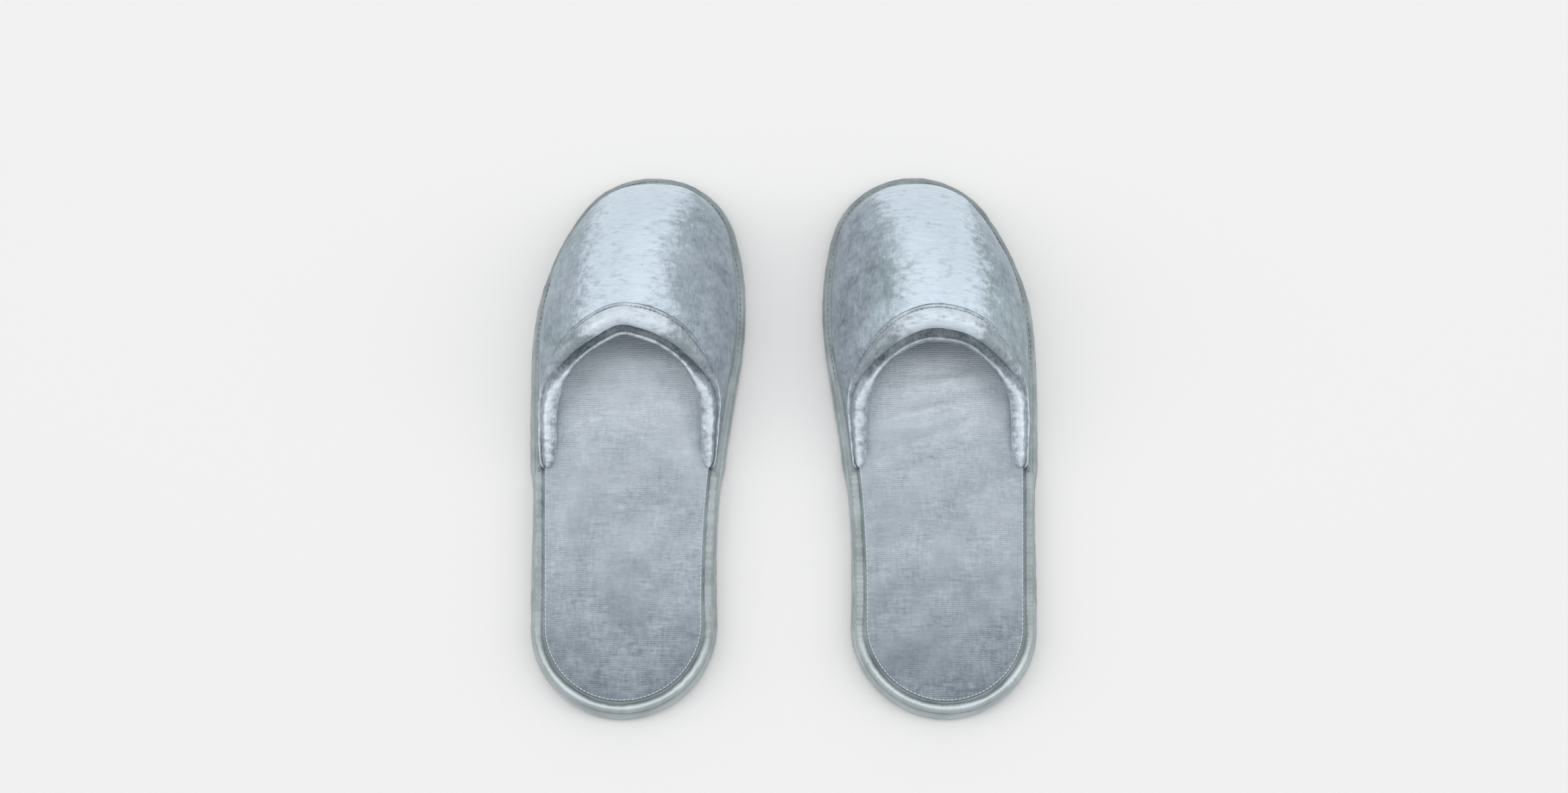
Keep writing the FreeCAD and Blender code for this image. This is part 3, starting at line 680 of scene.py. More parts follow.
def stiff_board(slipper, material):
    wall = [(OUTSOLE_INSET + 0.4, BOARD_TOP - 0.02), (OUTSOLE_INSET + 0.2, BOARD_TOP - 0.3),
            (OUTSOLE_INSET + 0.2, OUTSOLE_TOP + 0.3), (OUTSOLE_INSET + 0.4, OUTSOLE_TOP + 0.02)]
    flat_layer(slipper, "stiff_board", "insole_board", "board", wall, material)


def cushion(slipper, material):
    wall = [(FOAM_INSET + 1.0, FOAM_TOP - 0.5), (FOAM_INSET + 0.2, FOAM_TOP - 1.0),
            (FOAM_INSET, 8.2), (FOAM_INSET + 0.2, 6.8), (FOAM_INSET + 0.8, BOARD_TOP + 0.05)]
    flat_layer(slipper, "cushion", "cushion_foam", "cushion", wall, material, fill=0.9)


# Soft ridges across the terry cloth: place of the middle, direction, half length, half width, height.
WRINKLES = {
    "left": [((13, 181), 8, 9, 6, 1.0), ((-14, 150), 4, 26, 6, 1.0), ((16, 132), -8, 24, 7, 1.0),
             ((-6, 100), 10, 24, 9, 0.6), ((6, 60), -6, 20, 9, 0.6)],
    "right": [((-4, 168), -12, 24, 4.2, 1.9), ((6, 153), -16, 22, 3.8, 2.0), ((3, 139), -22, 20, 3.8, 1.8),
              ((14, 122), -26, 16, 4.2, 1.0), ((16, 88), 50, 10, 5, 1.2), ((-8, 108), -10, 24, 6, 0.7)],
}


def footbed_height(slipper, plan):
    """Top of the terry cloth: rounded down to the seam, gently uneven, with soft wrinkles."""
    inside = distance_from_edge(plan, COVER_INSET)
    crown = 1.5 * (smooth_step(inside, -1.5, 9.0) - 0.6)
    waves = slipper.uneven(plan, 1, (46.0, 0.30), (17.0, 0.12))
    folds = np.zeros(plan.shape[:-1])
    for (x, y), turn, length, width, height in WRINKLES[slipper.side]:
        way = np.array([math.cos(math.radians(turn)), math.sin(math.radians(turn))])
        offset = plan - np.array([x, y])
        along = offset @ way
        across = offset @ np.array([-way[1], way[0]]) - 0.004 * along ** 2
        ridge = near(across, 0, width) - 0.45 * near(across, -1.7 * width, width)
        folds += height * near(along, 0, length) * ridge
    return COVER_TOP + crown + (waves + folds) * smooth_step(inside, 1.0, 9.0)


def terry_footbed(slipper, material):
    """Terry cloth over the cushion, rounded down at the seam with small gathers."""
    wall = [(COVER_INSET + 0.9, COVER_TOP), (COVER_INSET + 0.3, COVER_TOP - 0.75),
            (COVER_INSET, COVER_TOP - 1.3), (COVER_INSET + 0.1, FOAM_TOP + 0.1),
            (COVER_INSET + 0.9, FOAM_TOP)]
    rows, columns = even_rows(wall[0][0], 0.9), 110
    points, quads = slab(rows, columns, wall, lambda plan: footbed_height(slipper, plan), level(FOAM_TOP))
    top = points[:len(rows) * columns].reshape(len(rows), columns, 3)
    held = distance_from_edge(top[..., :2], COVER_INSET) < 2.5
    top += puffed(top, held, pressure=1.0, most=1.2)
    slipper.piece("terry_footbed", "insole_cover", points, quads, material, "terry", bends=True, fill=0.8)


# ---------------------------------------------------------------- strips along the outline

def strip_along_outline(along, sections, push):
    """Loops of a cross-section set up along the outline.

    along: distances along the outline; sections: (inset, height) pairs of the closed section, one
    set for all of it or one a distance; push: function (points of the strip's own flat grid)
    -> mm to swell the section by.
    """
    sections = np.broadcast_to(sections, (len(along),) + np.shape(sections)[-2:])
    tangents = np.roll(sections, -1, 1) - np.roll(sections, 1, 1)
    swell_way = unit(np.stack([tangents[..., 1], -tangents[..., 0]], -1))
    if np.sum((sections - sections.mean(1, keepdims=True)) * swell_way) < 0:
        swell_way = -swell_way
    first = sections[0]
    across = np.concatenate([[0], np.cumsum(np.hypot(*np.diff(first, axis=0).T))])
    grain = np.stack(np.meshgrid(along, across, indexing="ij"), -1)
    swollen = sections + swell_way * push(grain)[..., None]
    base, normals = outline(along)
    plan = base[:, None] - normals[:, None] * swollen[..., :1]
    return np.concatenate([plan, swollen[..., 1:]], -1), grain


def heel_share(along):
    """1 round the heel, falling to 0 down the sole's two sides."""
    return 1 - smooth_step(outline(along)[0][:, 1], 12, 48)


def side_cloth(slipper, material):
    """Cloth band round the sole's edge: two seam lines and small creases."""
    outer = [(0.9, 0.85), (0.35, 1.1), (0.05, 1.6), (0.02, 2.05), (0.30, 2.3), (0.02, 2.55), (-0.10, 3.4),
             (-0.12, 4.4), (0.0, 5.4), (0.25, 6.1), (0.62, 6.6), (1.1, 6.95), (1.7, 7.15), (2.3, 7.0),
             (2.6, 7.12), (3.4, 7.22), (4.2, 7.2), (BAND_LIP_INSET, 7.1)]
    inner = [(BAND_LIP_INSET, 6.3), (4.0, 6.22), (3.0, 6.22), (2.0, 6.22), (1.32, 6.2), (1.25, 5.4),
             (1.25, 4.4), (1.25, 3.4), (1.25, 2.4), (1.28, 1.6), (1.2, 1.1), (1.05, 0.9)]
    profile = outer + inner
    along = np.arange(0, EDGE_LENGTH, 1.0)
    wraps = EDGE_LENGTH / (2 * math.pi)
    outer_share = np.array([0.2, 0.6] + [1.0] * (len(outer) - 2) + [0.0] * len(inner))
    station = outline(along)[0][:, 1]
    overhang = 0.75 * smooth_step(station, 118, 128) * (1 - smooth_step(station, 150, 200))
    overhang -= 0.75 * (1 - smooth_step(station, 112, 122)) * smooth_step(station, 60, 105)

    def push(grain):
        turn = grain[..., 0] / wraps
        ring = np.stack([np.cos(turn) * wraps, np.sin(turn) * wraps, grain[..., 1]], -1)
        creases = slipper.uneven(ring, 3, (9.0, 0.08), (4.0, 0.06), (44.0, 0.12))
        return (creases + overhang[:, None]) * outer_share

    points, grain = strip_along_outline(along, profile, push)
    quads = grid_quads(len(along), len(profile), wrap_rows=True, wrap_columns=True)
    toe_share = smooth_step(station, 215, 255)
    # Painted highlight on the outer face round the heel and painted shade on it towards the toe.
    painted_highlight_and_shade = 0.14 + (0.30 * heel_share(along) - 0.14 * toe_share)[:, None] * outer_share
    slipper.piece("side_cloth", "side_band", points, quads, material, "edge_cloth", grain, painted_highlight_and_shade, bends=True)


def roll_path(step, end):
    """Places along the outline, round the heel from y = end on one side to y = end on the other."""
    first = distance_at(end, inner_side=False)
    last = EDGE_LENGTH + distance_at(end, inner_side=True)
    return np.linspace(first, last, int((last - first) / step))


ROLL_BOTTOM = [(7.9, 10.2), (7.9, 9.4), (6.2, 9.1), (5.7, 7.4), (2.3, 7.3)]
ROLL_AT_HEEL = [(2.3, 7.3), (1.5, 8.1), (1.35, 9.5), (1.9, 11.0), (3.0, 11.9), (4.2, 11.8), (5.0, 11.0),
                (5.5, 10.4), (6.0, 10.25), (7.0, 10.2), (7.9, 10.2)]
ROLL_AT_SIDES = [(2.5, 7.3), (1.7, 8.1), (1.6, 9.2), (2.3, 10.2), (3.4, 10.9), (4.6, 11.0), (5.4, 10.8),
                 (5.9, 10.4), (6.3, 10.25), (7.1, 10.2), (7.9, 10.2)]


def edge_piping(slipper, material):
    """Padded rolled edge of the footbed with a flange under the terry cloth: round at the heel, where
    its stitching puckers it, and pulled flatter down the sides."""
    along = roll_path(0.6, 128.0)
    station = outline(along)[0][:, 1]
    flat = (0.75 * smooth_step(station, 30, 62))[:, None, None]
    at_heel = closed_section(ROLL_AT_HEEL, ROLL_BOTTOM, 30, 10)
    at_sides = closed_section(ROLL_AT_SIDES, ROLL_BOTTOM, 30, 10)
    sections = at_heel[None] * (1 - flat) + at_sides[None] * flat
    taper = (1 - 0.7 * smooth_step(station, 117, 131))[:, None, None]
    under_collar = np.array([5.4, 8.4])
    sections = under_collar + (sections - under_collar) * taper
    on_top = smooth_step(at_heel[:, 1], 9.0, 10.0) * (1 - smooth_step(at_heel[:, 0], 5.2, 6.0))

    def push(grain):
        path = grain[..., 0]
        seam = np.stack([path, 0.3 * path], -1)
        puckers = slipper.uneven(seam, 6, (3.2, 0.10), (8.0, 0.15))
        slack = slipper.uneven(seam, 8, (34.0, 0.16))
        near_seam = 0.5 + 0.5 * np.cos(grain[..., 1] / ROLL_RADIUS)
        return (puckers * near_seam + slack) * on_top

    points, grain = strip_along_outline(along, sections, push)
    quads = tube_quads(*points.shape[:2])
    # Painted highlight along the roll's crest, strongest round the heel, and painted shade in the valleys
    # beside it.
    crest = near(at_heel[:, 0], 3.4, 0.95) * on_top
    valley = near(at_heel[:, 0], 5.6, 0.5) + near(at_heel[:, 1], 8.4, 0.8)
    painted_highlight_and_shade = 0.20 * on_top + (0.05 + 0.95 * heel_share(along)[:, None]) * crest - 0.35 * valley
    slipper.piece("edge_piping", "edge_binding", points, quads, material, "edge_cloth", grain, painted_highlight_and_shade,
                  bends=True, fill=0.8)


def edge_filler(slipper, material):
    turn = np.linspace(0, 2 * math.pi, 12, endpoint=False)
    ring = np.stack([ROLL_INSET - 0.8 * np.cos(turn), BAND_TOP + ROLL_RADIUS + 0.8 * np.sin(turn)], 1)
    points, grain = strip_along_outline(roll_path(3.0, 112.0), ring, lambda grain: np.zeros(grain.shape[:-1]))
    quads = tube_quads(*points.shape[:2])[:, ::-1]
    slipper.piece("edge_filler", "edge_cord", points, quads, material, "filler", grain, bends=True)


# ---------------------------------------------------------------- the upper

def opening_path(margin_side, margin_throat, count, start=COLLAR_END):
    """Points of the plan along the U round the foot opening, outer tip to inner tip."""
    half = OPENING_HALF_WIDTH + margin_side
    middle = OPENING_MIDDLE + margin_throat - margin_side
    straight = middle - start
    total = 2 * straight + math.pi * half
    at = np.linspace(0, total, count)
    turn = np.clip((at - straight) / half, 0, math.pi)
    before = np.minimum(at, straight)
    after = np.maximum(at - straight - math.pi * half, 0)
    x = OPENING_OFFSET - half * np.cos(turn)
    y = start + before + half * np.sin(turn) - after
    return np.stack([x, y], -1)


def kept_inside(x, y, inset, margin):
    """X of points of the plan, easing in to run a margin inside the outline moved in by `inset`."""
    outer, inner = sides_at(y, inset)
    x = (x + outer + margin + np.hypot(x - outer - margin, COLLAR_EASING)) / 2
    return (x + inner - margin - np.hypot(x - inner + margin, COLLAR_EASING)) / 2


def upper_grid(lift, around, upward, hem=1.0):
    """Points of one surface of the upper, from its lower edge (column 0) to under the collar."""
    base_first = distance_at(COLLAR_END + 3, inner_side=True)
    base_last = distance_at(COLLAR_END + 3, inner_side=False)
    along_base = np.linspace(base_last, base_first, around)
    toe_share = smooth_step(outline(along_base)[0][:, 1], 250, 282)
    base, _ = outline(along_base, VAMP_INSET - lift + TOE_SET_BACK * toe_share)
    top = opening_path(COLLAR_ROLL + BAND_AT_SIDE - hem, COLLAR_ROLL + BAND_AT_THROAT - hem, around,
                       COLLAR_END + 3)
    top[:, 0] = kept_inside(top[:, 0], top[:, 1], VAMP_INSET - lift, 0.5)
    share = 1 - np.cos(np.linspace(0, math.pi / 2, upward))
    plan = base[:, None] + (top - base)[:, None] * share[None, :, None]
    height = dome_height(plan[..., 0], plan[..., 1], lift)
    from_edge = np.linalg.norm(plan - base[:, None], axis=-1)
    rounding = np.sqrt(1 - (1 - np.clip(from_edge / EDGE_ROUNDING, 0, 1)) ** 2)
    height = BAND_TOP + (height - BAND_TOP) * rounding
    return np.concatenate([plan, height[..., None]], -1)


def closed_layer(outside, inside):
    """A thick sheet from its two surfaces, as loops that run up the outside and down the inside."""
    loops = np.concatenate([outside, inside[:, ::-1]], 1)
    return loops, tube_quads(*loops.shape[:2])[:, ::-1]


def crest_painted_highlight(points):
    """Painted highlight in a wide stripe from throat to toe, less and less down the flanks, which are left as
    painted shade.
    """
    toe_share = smooth_step(points[..., 1], 225, 280)
    middle = -0.5 + (TOE_OFFSET - 0.5) * toe_share
    flat_half = 8.0 + 3.0 * toe_share
    return 1 - smooth_step(np.abs(points[..., 0] - middle), flat_half, flat_half + 31.0)


def velour_upper(slipper, material):
    """Velour over the toes: tucked into the seam, with small gathers and a soft unevenness."""
    around, upward = 420, 130
    outside = upper_grid(0.0, around, upward)
    normals = -grid_normals(outside)
    rise = (outside[..., 2] - BAND_TOP)
    seam = np.exp(-rise / 5.0)
    path = np.linspace(0, 360, around)[:, None] * np.ones((1, upward))
    gathers = slipper.uneven(np.stack([path, 0.15 * rise], -1), 11, (7.0, 0.22))
    soft = slipper.uneven(outside, 12, (62.0, 0.5), (21.0, 0.16))
    push = gathers * seam + soft * (1 - seam) - 0.9 * np.exp(-rise / 0.8)
    outside = outside + normals * push[..., None]
    # Painted highlight down the crest of the outside; none inside.
    painted_light_share = crest_painted_highlight(outside)
    held = np.ones(outside.shape[:2], dtype=bool)
    sewn_ends, sewn_edges = 6, 14
    held[sewn_ends:-sewn_ends, sewn_edges:-sewn_edges] = False
    outside += puffed(outside, held, pressure=15.0, most=1.2)
    inside = upper_grid(-1.5, around, upward)
    points, quads = closed_layer(outside, inside)
    slipper.piece("velour_upper", "vamp_shell", points, quads, material, "velour",
                  painted_light=np.concatenate([painted_light_share, 0 * painted_light_share], 1), fill=0.7)


def upper_layer(slipper, name, node, slot, lifts, counts, material, fill=None):
    outside, inside = (upper_grid(lift, *counts, hem=2.0) for lift in lifts)
    slipper.piece(name, node, *closed_layer(outside, inside), material, slot, fill=fill)


# ---------------------------------------------------------------- the collar

# Where the throat's edge is pulled up to a slight peak: place across, and how far (mm).
THROAT_PEAK = {"left": (-2.5, 1.7), "right": (-4.0, -0.5)}
# How deep the lip lies under the band at the throat, as a share of the left slipper's.
THROAT_DEPTH = {"left": 1.0, "right": 1.22}


def collar_frame(side, count):
    """Where the collar lies: its inner edge, the way across it, and the way up from the velour."""
    inner = opening_path(0, 0, count)
    outer = opening_path(COLLAR_ROLL + BAND_AT_SIDE, COLLAR_ROLL + BAND_AT_THROAT, count)
    x, size = THROAT_PEAK[side]
    peak = size * near(inner[:, 0], x, 7.0) * (inner[:, 1] > OPENING_MIDDLE)
    inner[:, 1] += peak
    outer[:, 1] += 0.4 * peak
    outer[:, 0] = kept_inside(outer[:, 0], outer[:, 1], VAMP_INSET, 0.4)

    def lifted(plan):
        height = dome_height(plan[..., 0], plan[..., 1])
        return np.concatenate([plan, height[..., None]], -1)

    start = lifted(inner)
    across = lifted(outer) - start
    middle = lifted((inner + outer) / 2) - start - across / 2
    along = np.gradient(start, axis=0)
    up = unit(np.cross(along, across))
    up *= np.sign(up[:, 2:])
    sag = np.sum(middle * up, 1)
    throat = smooth_step(inner[:, 1], OPENING_MIDDLE + 5, OPENING_MIDDLE + OPENING_HALF_WIDTH - 2)
    steps = np.linalg.norm(np.gradient(start, axis=0), axis=1)
    path = np.cumsum(steps)
    return start, across, up, sag, throat, path


def tip_rounding(path, reach=5.5):
    """1 along the collar, falling round to nearly 0 at its two tips."""
    from_tip = np.minimum(path - path[0], path[-1] - path)
    share = np.clip(from_tip / reach, 0.0, 1)
    return np.sqrt(1 - (1 - share) ** 2) * 0.97 + 0.03


def collar_strip(slipper, name, node, slot, section, material, seed, puckers, centre, painted_light_function, fill=None):
    """A strip of the collar, set up along the edge of the foot opening.

    section: function (throat, depth) -> (share across, height) pairs a station; centre: the point
    the section shrinks to at the tips; flatness: function (shares, heights, distance from the
    middle of the throat, throat) -> painted light, high for painted highlight, low for painted shade.
    """
    count = 420
    start, across, up, sag, throat, path = collar_frame(slipper.side, count)
    rounding = tip_rounding(path)
    section_points = section(throat, THROAT_DEPTH[slipper.side])
    shares, heights = section_points[..., 0], section_points[..., 1]
    # Painted highlight and painted shade across the strip.
    painted_light = painted_light_function(shares, heights, (path - path[-1] / 2)[:, None], throat[:, None])
    middle_share, middle_height = centre
    shares = middle_share + (shares - middle_share) * rounding[:, None]
    heights = middle_height + (heights - middle_height) * rounding[:, None]
    flat = np.stack([path[:, None] + 0 * shares, 3 * shares], -1)
    swell = np.sign(heights - middle_height) * slipper.uneven(flat, seed, (5.0, puckers))
    slack = slipper.uneven(np.stack([path, path], -1), seed + 1, (30.0, 0.22))[:, None]
    follow = 4 * np.clip(shares, 0, 1) * (1 - np.clip(shares, 0, 1))
    lift = heights + swell * rounding[:, None] + slack + follow * sag[:, None]
    hanging = up + (np.array([0.0, 0.0, 1.0]) - up) * throat[:, None]
    above = np.maximum(lift, 0)[..., None] * up[:, None]
    below = np.minimum(lift, 0)[..., None] * hanging[:, None]
    points = start[:, None] + across[:, None] * shares[..., None] + above + below
    steps = np.linalg.norm(np.diff(points[count // 2], axis=0), axis=1)
    grain = np.stack(np.meshgrid(path, np.concatenate([[0], np.cumsum(steps)]), indexing="ij"), -1)
    slipper.piece(name, node, points, tube_quads(*shares.shape), material, slot, grain, painted_light, fill=fill)


def between(throat, at_side, at_throat):
    """Section points that change from the sides of the collar to its throat."""
    return at_side[None] + (at_throat - at_side)[None] * throat[:, None, None]


PIPING_TOP_POINTS = 30
BAND_TOP_POINTS = 44
BOTTOM_POINTS = 10
WIDTH_AT_SIDE = COLLAR_ROLL + BAND_AT_SIDE
WIDTH_AT_THROAT = COLLAR_ROLL + BAND_AT_THROAT


def piping_section(throat, depth):
    """Padded roll of the lining: on top down the sides, a thin lip deep under the band at the throat."""
    side = closed_section([(0.62, -1.2), (0.61, 0.4), (0.56, 1.4), (0.46, 2.1), (0.30, 2.5), (0.14, 2.2),
                           (0.02, 1.2), (-0.05, -0.3), (-0.06, -1.8), (0.0, -3.2), (0.12, -4.2)],
                          [(0.12, -4.2), (0.30, -4.6), (0.60, -4.4), (0.62, -1.2)],
                          PIPING_TOP_POINTS, BOTTOM_POINTS, WIDTH_AT_SIDE)
    lip = np.array([(0.24, -4.6), (0.12, -6.4), (0.04, -7.5), (-0.05, -7.9), (-0.11, -7.6), (-0.17, -7.5),
                    (-0.23, -7.9), (-0.25, -8.6), (-0.22, -9.3), (-0.15, -9.6), (-0.05, -9.4)]) * depth
    under = closed_section([(0.80, -2.6), (0.5, -3.0)] + lip.tolist(),
                           [lip[-1].tolist(), (0.15, -7.8), (0.5, -5.4), (0.80, -4.8), (0.80, -2.6)],
                           PIPING_TOP_POINTS, BOTTOM_POINTS, WIDTH_AT_THROAT)
    return between(throat, side, under)


def band_section(throat, depth):
    """Folded band: a low roll down the sides, a wide hump with a seam near its edge at the throat."""
    side = closed_section([(0.60, -0.8), (0.61, 0.2), (0.66, 1.2), (0.74, 1.9), (0.82, 2.0), (0.90, 1.5),
                           (0.96, 0.7), (1.02, -0.1), (1.0, -0.8)],
                          [(1.0, -0.8), (0.8, -0.8), (0.60, -0.8)],
                          BAND_TOP_POINTS, BOTTOM_POINTS, WIDTH_AT_SIDE)
    wide = closed_section([(0.12, -3.2), (0.02, -2.6), (-0.02, -1.0), (0.0, 0.7), (0.06, 1.8),
                           (0.17, 2.5), (0.33, 2.8), (0.52, 2.6), (0.68, 2.1), (0.76, 1.7), (0.785, 1.0),
                           (0.81, 1.5), (0.88, 1.4), (0.95, 0.8), (1.0, -0.1), (1.0, -0.8)],
                          [(1.0, -0.8), (0.5, -1.7), (0.12, -3.2)],
                          BAND_TOP_POINTS, BOTTOM_POINTS, WIDTH_AT_THROAT)
    return between(throat, side, wide)


def filler_section(throat, depth):
    turn = np.linspace(0, 2 * math.pi, 12, endpoint=False)
    ring = np.stack([np.cos(turn), np.sin(turn)], 1)
    return between(throat, ring * (0.10, 1.1) + (0.27, -1.2),
                   ring * (0.02, 0.3) + np.array([-0.15, -8.7]) * depth)


def piping_painted_light(shares, heights, from_middle, throat):
    """Painted highlight along its inner side, a streak that runs on into the lip at the throat; painted shade
    above it, under the band.
    """
    streak = near(shares, 0.10 - 0.27 * throat, 0.15 - 0.08 * throat)
    in_shadow = 0.65 * (1 - smooth_step(-heights, 5.6, 8.2))
    base = 0.30 - (0.30 + in_shadow) * smooth_step(throat, 0.0, 0.5)
    return base + (0.92 - base) * streak * smooth_step(heights, -13.0, -9.0)


def band_painted_light(shares, heights, from_middle, throat):
    """Painted highlight on top in the middle of the throat and along its crest down the sides; painted shade
    between, under the band, in the seam's slit and at its outer edge down the sides.
    """
    middle = np.exp(-(from_middle / 22.0) ** 4)
    hump = (1 - smooth_step(shares, 0.74, 0.77)) * smooth_step(heights, -2.6, -1.0)
    beyond_slit = 0.85 * near(shares, 0.86, 0.06)
    at_throat = (0.22 + 0.78 * middle) * (hump + beyond_slit) - 0.35 * near(shares, 0.785, 0.03)
    at_side = 0.22 + 0.75 * near(shares, 0.82, 0.09) - 0.7 * near(shares, 1.0, 0.06)
    return at_side + (at_throat - at_side) * smooth_step(throat, 0.0, 0.35)


def collar(slipper, velour_material, filler_material):
    collar_strip(slipper, "collar_piping", "collar_roll", "collar_cloth", piping_section, velour_material,
                 21, 0.10, (0.35, 0.0), piping_painted_light, fill=0.7)
    collar_strip(slipper, "folded_band", "collar_band", "velour", band_section, velour_material,
                 31, 0.08, (0.6, 0.2), band_painted_light, fill=0.6)
    collar_strip(slipper, "collar_filler", "collar_cord", "filler", filler_section, filler_material,
                 41, 0.0, (0.25, -1.2), lambda shares, *others: 0 * shares)


# ---------------------------------------------------------------- thread

def thread_piece(slipper, name, node, starts, ends, radius, material, ups=(0.0, 0.0, 1.0), bends=False):
    """Separate stitches, each a short length of thread that dips into the cloth at both ends."""
    rings, sides = 7, 8
    starts, ends = np.asarray(starts), np.asarray(ends)
    ups = np.broadcast_to(ups, starts.shape)
    count = len(starts)
    share = np.linspace(0, 1, rings)
    along = ends - starts
    length = np.linalg.norm(along, axis=1, keepdims=True)
    along = along / length
    across = unit(np.cross(along, ups))
    ups = np.cross(across, along)
    arch = radius * 1.3 * np.sin(share * math.pi) ** 0.6 - radius * 0.9
    girth = radius * np.sqrt(np.clip(1 - (2 * share - 1) ** 6, 0.03, 1))
    middle = starts[:, None] + (ends - starts)[:, None] * share[None, :, None] \
        + ups[:, None] * arch[None, :, None]
    turn = np.linspace(0, 2 * math.pi, sides, endpoint=False)
    ring = (across[:, None, None] * np.cos(turn)[None, None, :, None]
            + ups[:, None, None] * np.sin(turn)[None, None, :, None])
    points = middle[:, :, None] + ring * girth[None, :, None, None]
    quads = np.concatenate([tube_quads(rings, sides) + stitch * rings * sides for stitch in range(count)])
    grain = np.zeros(points.shape[:-1] + (2,))
    grain[..., 0] = share[None, :, None] * length[:, :, None]
    grain[..., 1] = (turn * radius)[None, None]
    slipper.piece(name, node, points, quads, material, "thread", grain, bends=bends)


def edge_row(slipper, name, node, first, last, pitch, share, insets, height, radius, material, bends=False):
    """A row of stitches along the outline, each a share of the pitch long, from one inset to another."""
    at = np.arange(first, last, pitch)
    ends = []
    for distance, inset in zip((at, at + pitch * share), insets):
        plan, _ = outline(distance, inset)
        ends.append(np.hstack([plan, height(plan)[:, None]]))
    thread_piece(slipper, name, node, *ends, radius, material, bends=bends)


def sole_thread(slipper, material):
    """Bright row where the terry cloth meets the rolled edge."""
    first = distance_at(127.0, inner_side=False)
    last = EDGE_LENGTH + distance_at(127.0, inner_side=True)
    edge_row(slipper, "sole_thread", "sole_stitching", first, last, 2.4, 0.93,
             (COVER_INSET + 0.5, COVER_INSET + 0.6), lambda plan: footbed_height(slipper, plan), 0.25,
             material, bends=True)


def toe_thread(slipper, material):
    """Seam round the toe, on the side band beside the upper."""
    first, last = (distance_at(142.0, inner_side) for inner_side in (True, False))
    edge_row(slipper, "toe_thread", "toe_stitching", first, last, 3.2, 0.8, (2.35, 2.35),
             level(BAND_TOP - 0.05), 0.26, material)


def collar_thread(slipper, material):
    """Seam along the folded band: in its slit at the throat, beside it down the sides."""
    start, across, up, sag, throat, _ = collar_frame(slipper.side, 1200)
    share = 1.02 - 0.235 * throat
    height = 0.05 + 1.15 * throat + 4 * np.clip(share, 0, 1) * (1 - np.clip(share, 0, 1)) * sag
    seam = start + across * share[:, None] + up * height[:, None]
    run = np.concatenate([[0], np.cumsum(np.linalg.norm(np.diff(seam, axis=0), axis=1))])
    pitch = 2.4
    at = np.arange(14, run[-1] - 15, pitch)

    def read(distance, values):
        return np.stack([np.interp(distance, run, values[:, axis]) for axis in range(3)], -1)

    thread_piece(slipper, "collar_thread", "collar_stitching", read(at, seam),
                 read(at + pitch * 0.9, seam), 0.20, material, ups=read(at + pitch / 2, up))


def tip_tacks(slipper, material):
    """Dense stitches that hold the collar's two tips down."""
    at = np.array([distance_at(COLLAR_END - 1.4 + 0.42 * number, inner_side)
                   for inner_side in (False, True) for number in range(6)])
    starts, ends = (np.insert(outline(at, inset)[0], 2, 11.1, axis=1) for inset in (3.2, 5.0))
    thread_piece(slipper, "tip_tacks", "bar_tacks", starts, ends, 0.18, material)


# ---------------------------------------------------------------- floor, light and camera

CAMERA_AIM_Y = 0.023
CAMERA_ELEVATION = 70.0
CAMERA_DISTANCE = 1.076
CAMERA_LENS = 48.7


def pale_floor():
    mesh = bpy.data.meshes.new("floor")
    reach = 6.0
    mesh.from_pydata([(-reach, -reach, 0), (reach, -reach, 0), (reach, reach, 0), (-reach, reach, 0)], [],
                     [(0, 1, 2, 3)])
    floor = bpy.data.objects.new("floor", mesh)
    bpy.context.scene.collection.objects.link(floor)
    shades = Shades("pale_floor")
    inputs = shades.tree.nodes["Principled BSDF"].inputs
    inputs["Base Color"].default_value = (0.87, 0.87, 0.87, 1)
    inputs["Roughness"].default_value = 0.9
    inputs["Specular IOR Level"].default_value = 0.1
    mesh.materials.append(shades.material)


def area_light(name, position, aim, size, power):
    light = bpy.data.lights.new(name, "AREA")
    light.shape = "RECTANGLE"
    light.size, light.size_y = size
    light.energy = power
    item = bpy.data.objects.new(name, light)
    item.location = position
    way = np.array(aim, dtype=float) - np.array(position, dtype=float)
    pitch = math.atan2(math.hypot(way[0], way[1]), -way[2])
    yaw = math.atan2(-way[0], way[1])
    item.rotation_euler = (pitch, 0, yaw)
    bpy.context.scene.collection.objects.link(item)


def light_and_camera():
    world = bpy.data.worlds.new("studio")
    world.use_nodes = True
    background = world.node_tree.nodes["Background"].inputs
    background["Color"].default_value = (1.0, 1.0, 1.0, 1)
    background["Strength"].default_value = 0.65
    bpy.context.scene.world = world
    area_light("overhead_strip", (0, 0.6, 1.6), (0, 0.6, 0), (0.50, 2.6), 4.0)
    for side, x in (("left", -3.1), ("right", 3.1)):
        area_light(f"{side}_side_light", (x, 0, 2.5), (0, 0, 0), (2.0, 4.0), 40.0)
    tilt = math.radians(90 - CAMERA_ELEVATION)
    camera_data = bpy.data.cameras.new("camera")
    camera_data.lens = CAMERA_LENS
    camera_data.clip_start = 0.01
    camera = bpy.data.objects.new("camera", camera_data)
    camera.location = (0, CAMERA_AIM_Y - CAMERA_DISTANCE * math.sin(tilt), CAMERA_DISTANCE * math.cos(tilt))
    camera.rotation_euler = (tilt, 0, 0)
    bpy.context.scene.collection.objects.link(camera)
    bpy.context.scene.camera = camera
    bpy.context.scene.view_settings.view_transform = "Standard"


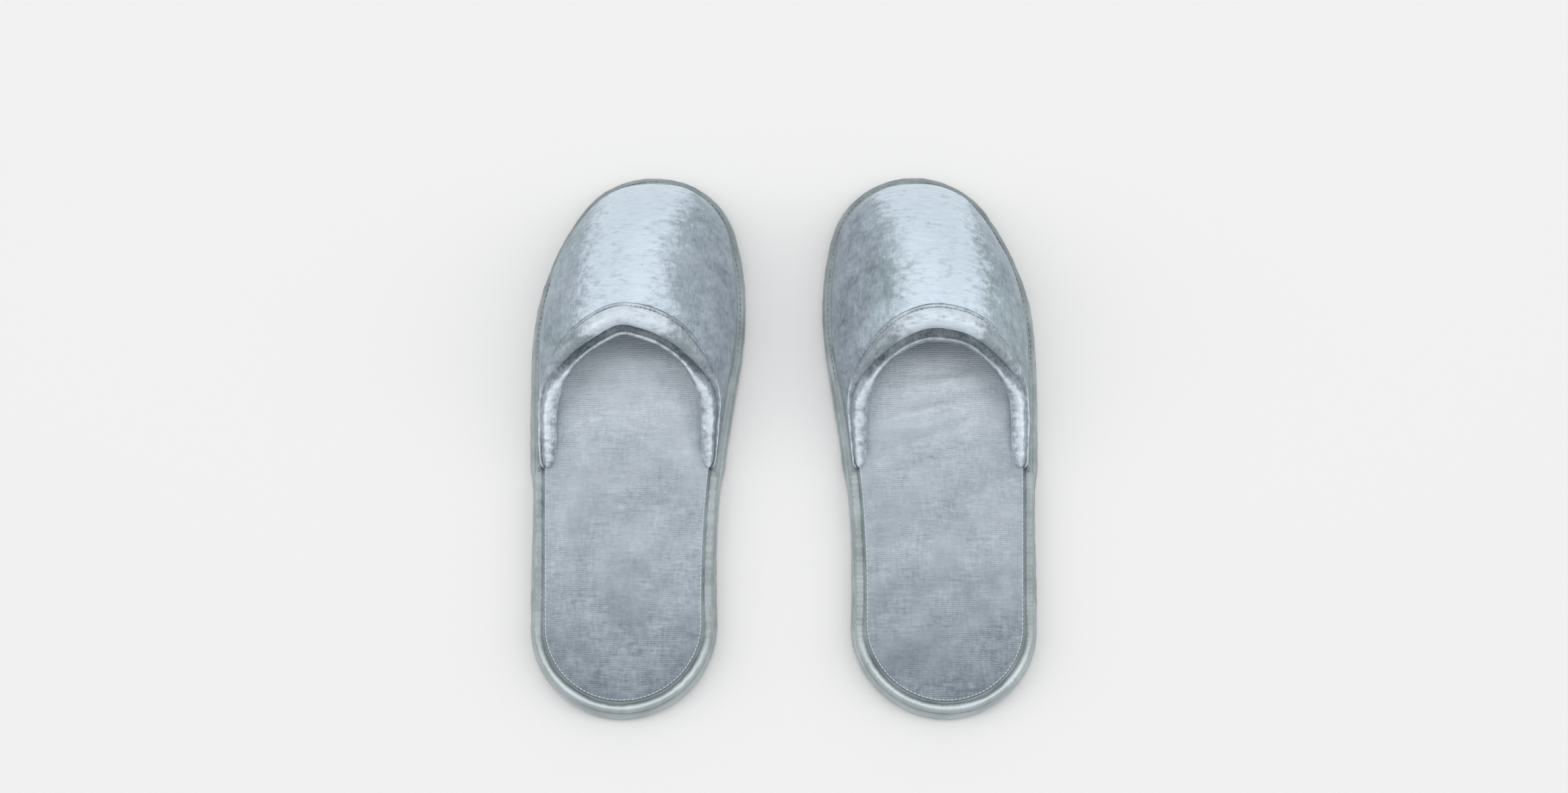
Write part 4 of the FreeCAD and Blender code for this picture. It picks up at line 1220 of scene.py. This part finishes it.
# ---------------------------------------------------------------- assembly

pale_floor()
light_and_camera()

# The velours' light colours are painted highlight and their dark colours partly painted shade; the collar's
# copy is darker, as painted shade under and beside the band.
VELOUR = velour("velour", (0.155, 0.195, 0.225, 1), (0.67, 0.78, 0.88, 1))
COLLAR_VELOUR = velour("collar_velour", (0.085, 0.108, 0.128, 1), (0.70, 0.79, 0.87, 1))
TERRY = terry()
EDGE_CLOTH = satin_edge()
LINING = woven_lining()
BRIGHT_THREAD = sewing_thread("bright_thread", (0.50, 0.57, 0.62, 1), (0.80, 0.86, 0.90, 1))
SEAM_THREAD = sewing_thread("seam_thread", (0.20, 0.25, 0.29, 1), (0.42, 0.48, 0.53, 1))
RUBBER = foam_rubber()
# The foam and the board are grey-blue, the board darker, so that they pass for painted shade where they show
# through the gap at the toe seam.
FOAM = hidden_filling("open_foam", (0.40, 0.45, 0.50, 1), (0.60, 0.65, 0.70, 1), 1200.0)
BOARD = hidden_filling("fibre_board", (0.20, 0.23, 0.25, 1), (0.34, 0.38, 0.41, 1), 700.0)
FILLER = hidden_filling("filler_cord", (0.62, 0.62, 0.58, 1), (0.85, 0.85, 0.80, 1), 1600.0)

for side in ("left", "right"):
    slipper = Slipper(side)
    rubber_sole(slipper, RUBBER)
    side_cloth(slipper, EDGE_CLOTH)
    stiff_board(slipper, BOARD)
    cushion(slipper, FOAM)
    terry_footbed(slipper, TERRY)
    edge_piping(slipper, EDGE_CLOTH)
    edge_filler(slipper, FILLER)
    velour_upper(slipper, VELOUR)
    upper_layer(slipper, "upper_padding", "vamp_padding", "padding", (-1.6, -3.4), (200, 60), FOAM, fill=0.7)
    upper_layer(slipper, "upper_lining", "vamp_lining", "lining", (-3.5, -4.5), (260, 80), LINING)
    collar(slipper, COLLAR_VELOUR, FILLER)
    sole_thread(slipper, BRIGHT_THREAD)
    toe_thread(slipper, SEAM_THREAD)
    collar_thread(slipper, BRIGHT_THREAD)
    tip_tacks(slipper, SEAM_THREAD)

bpy.context.view_layer.update()
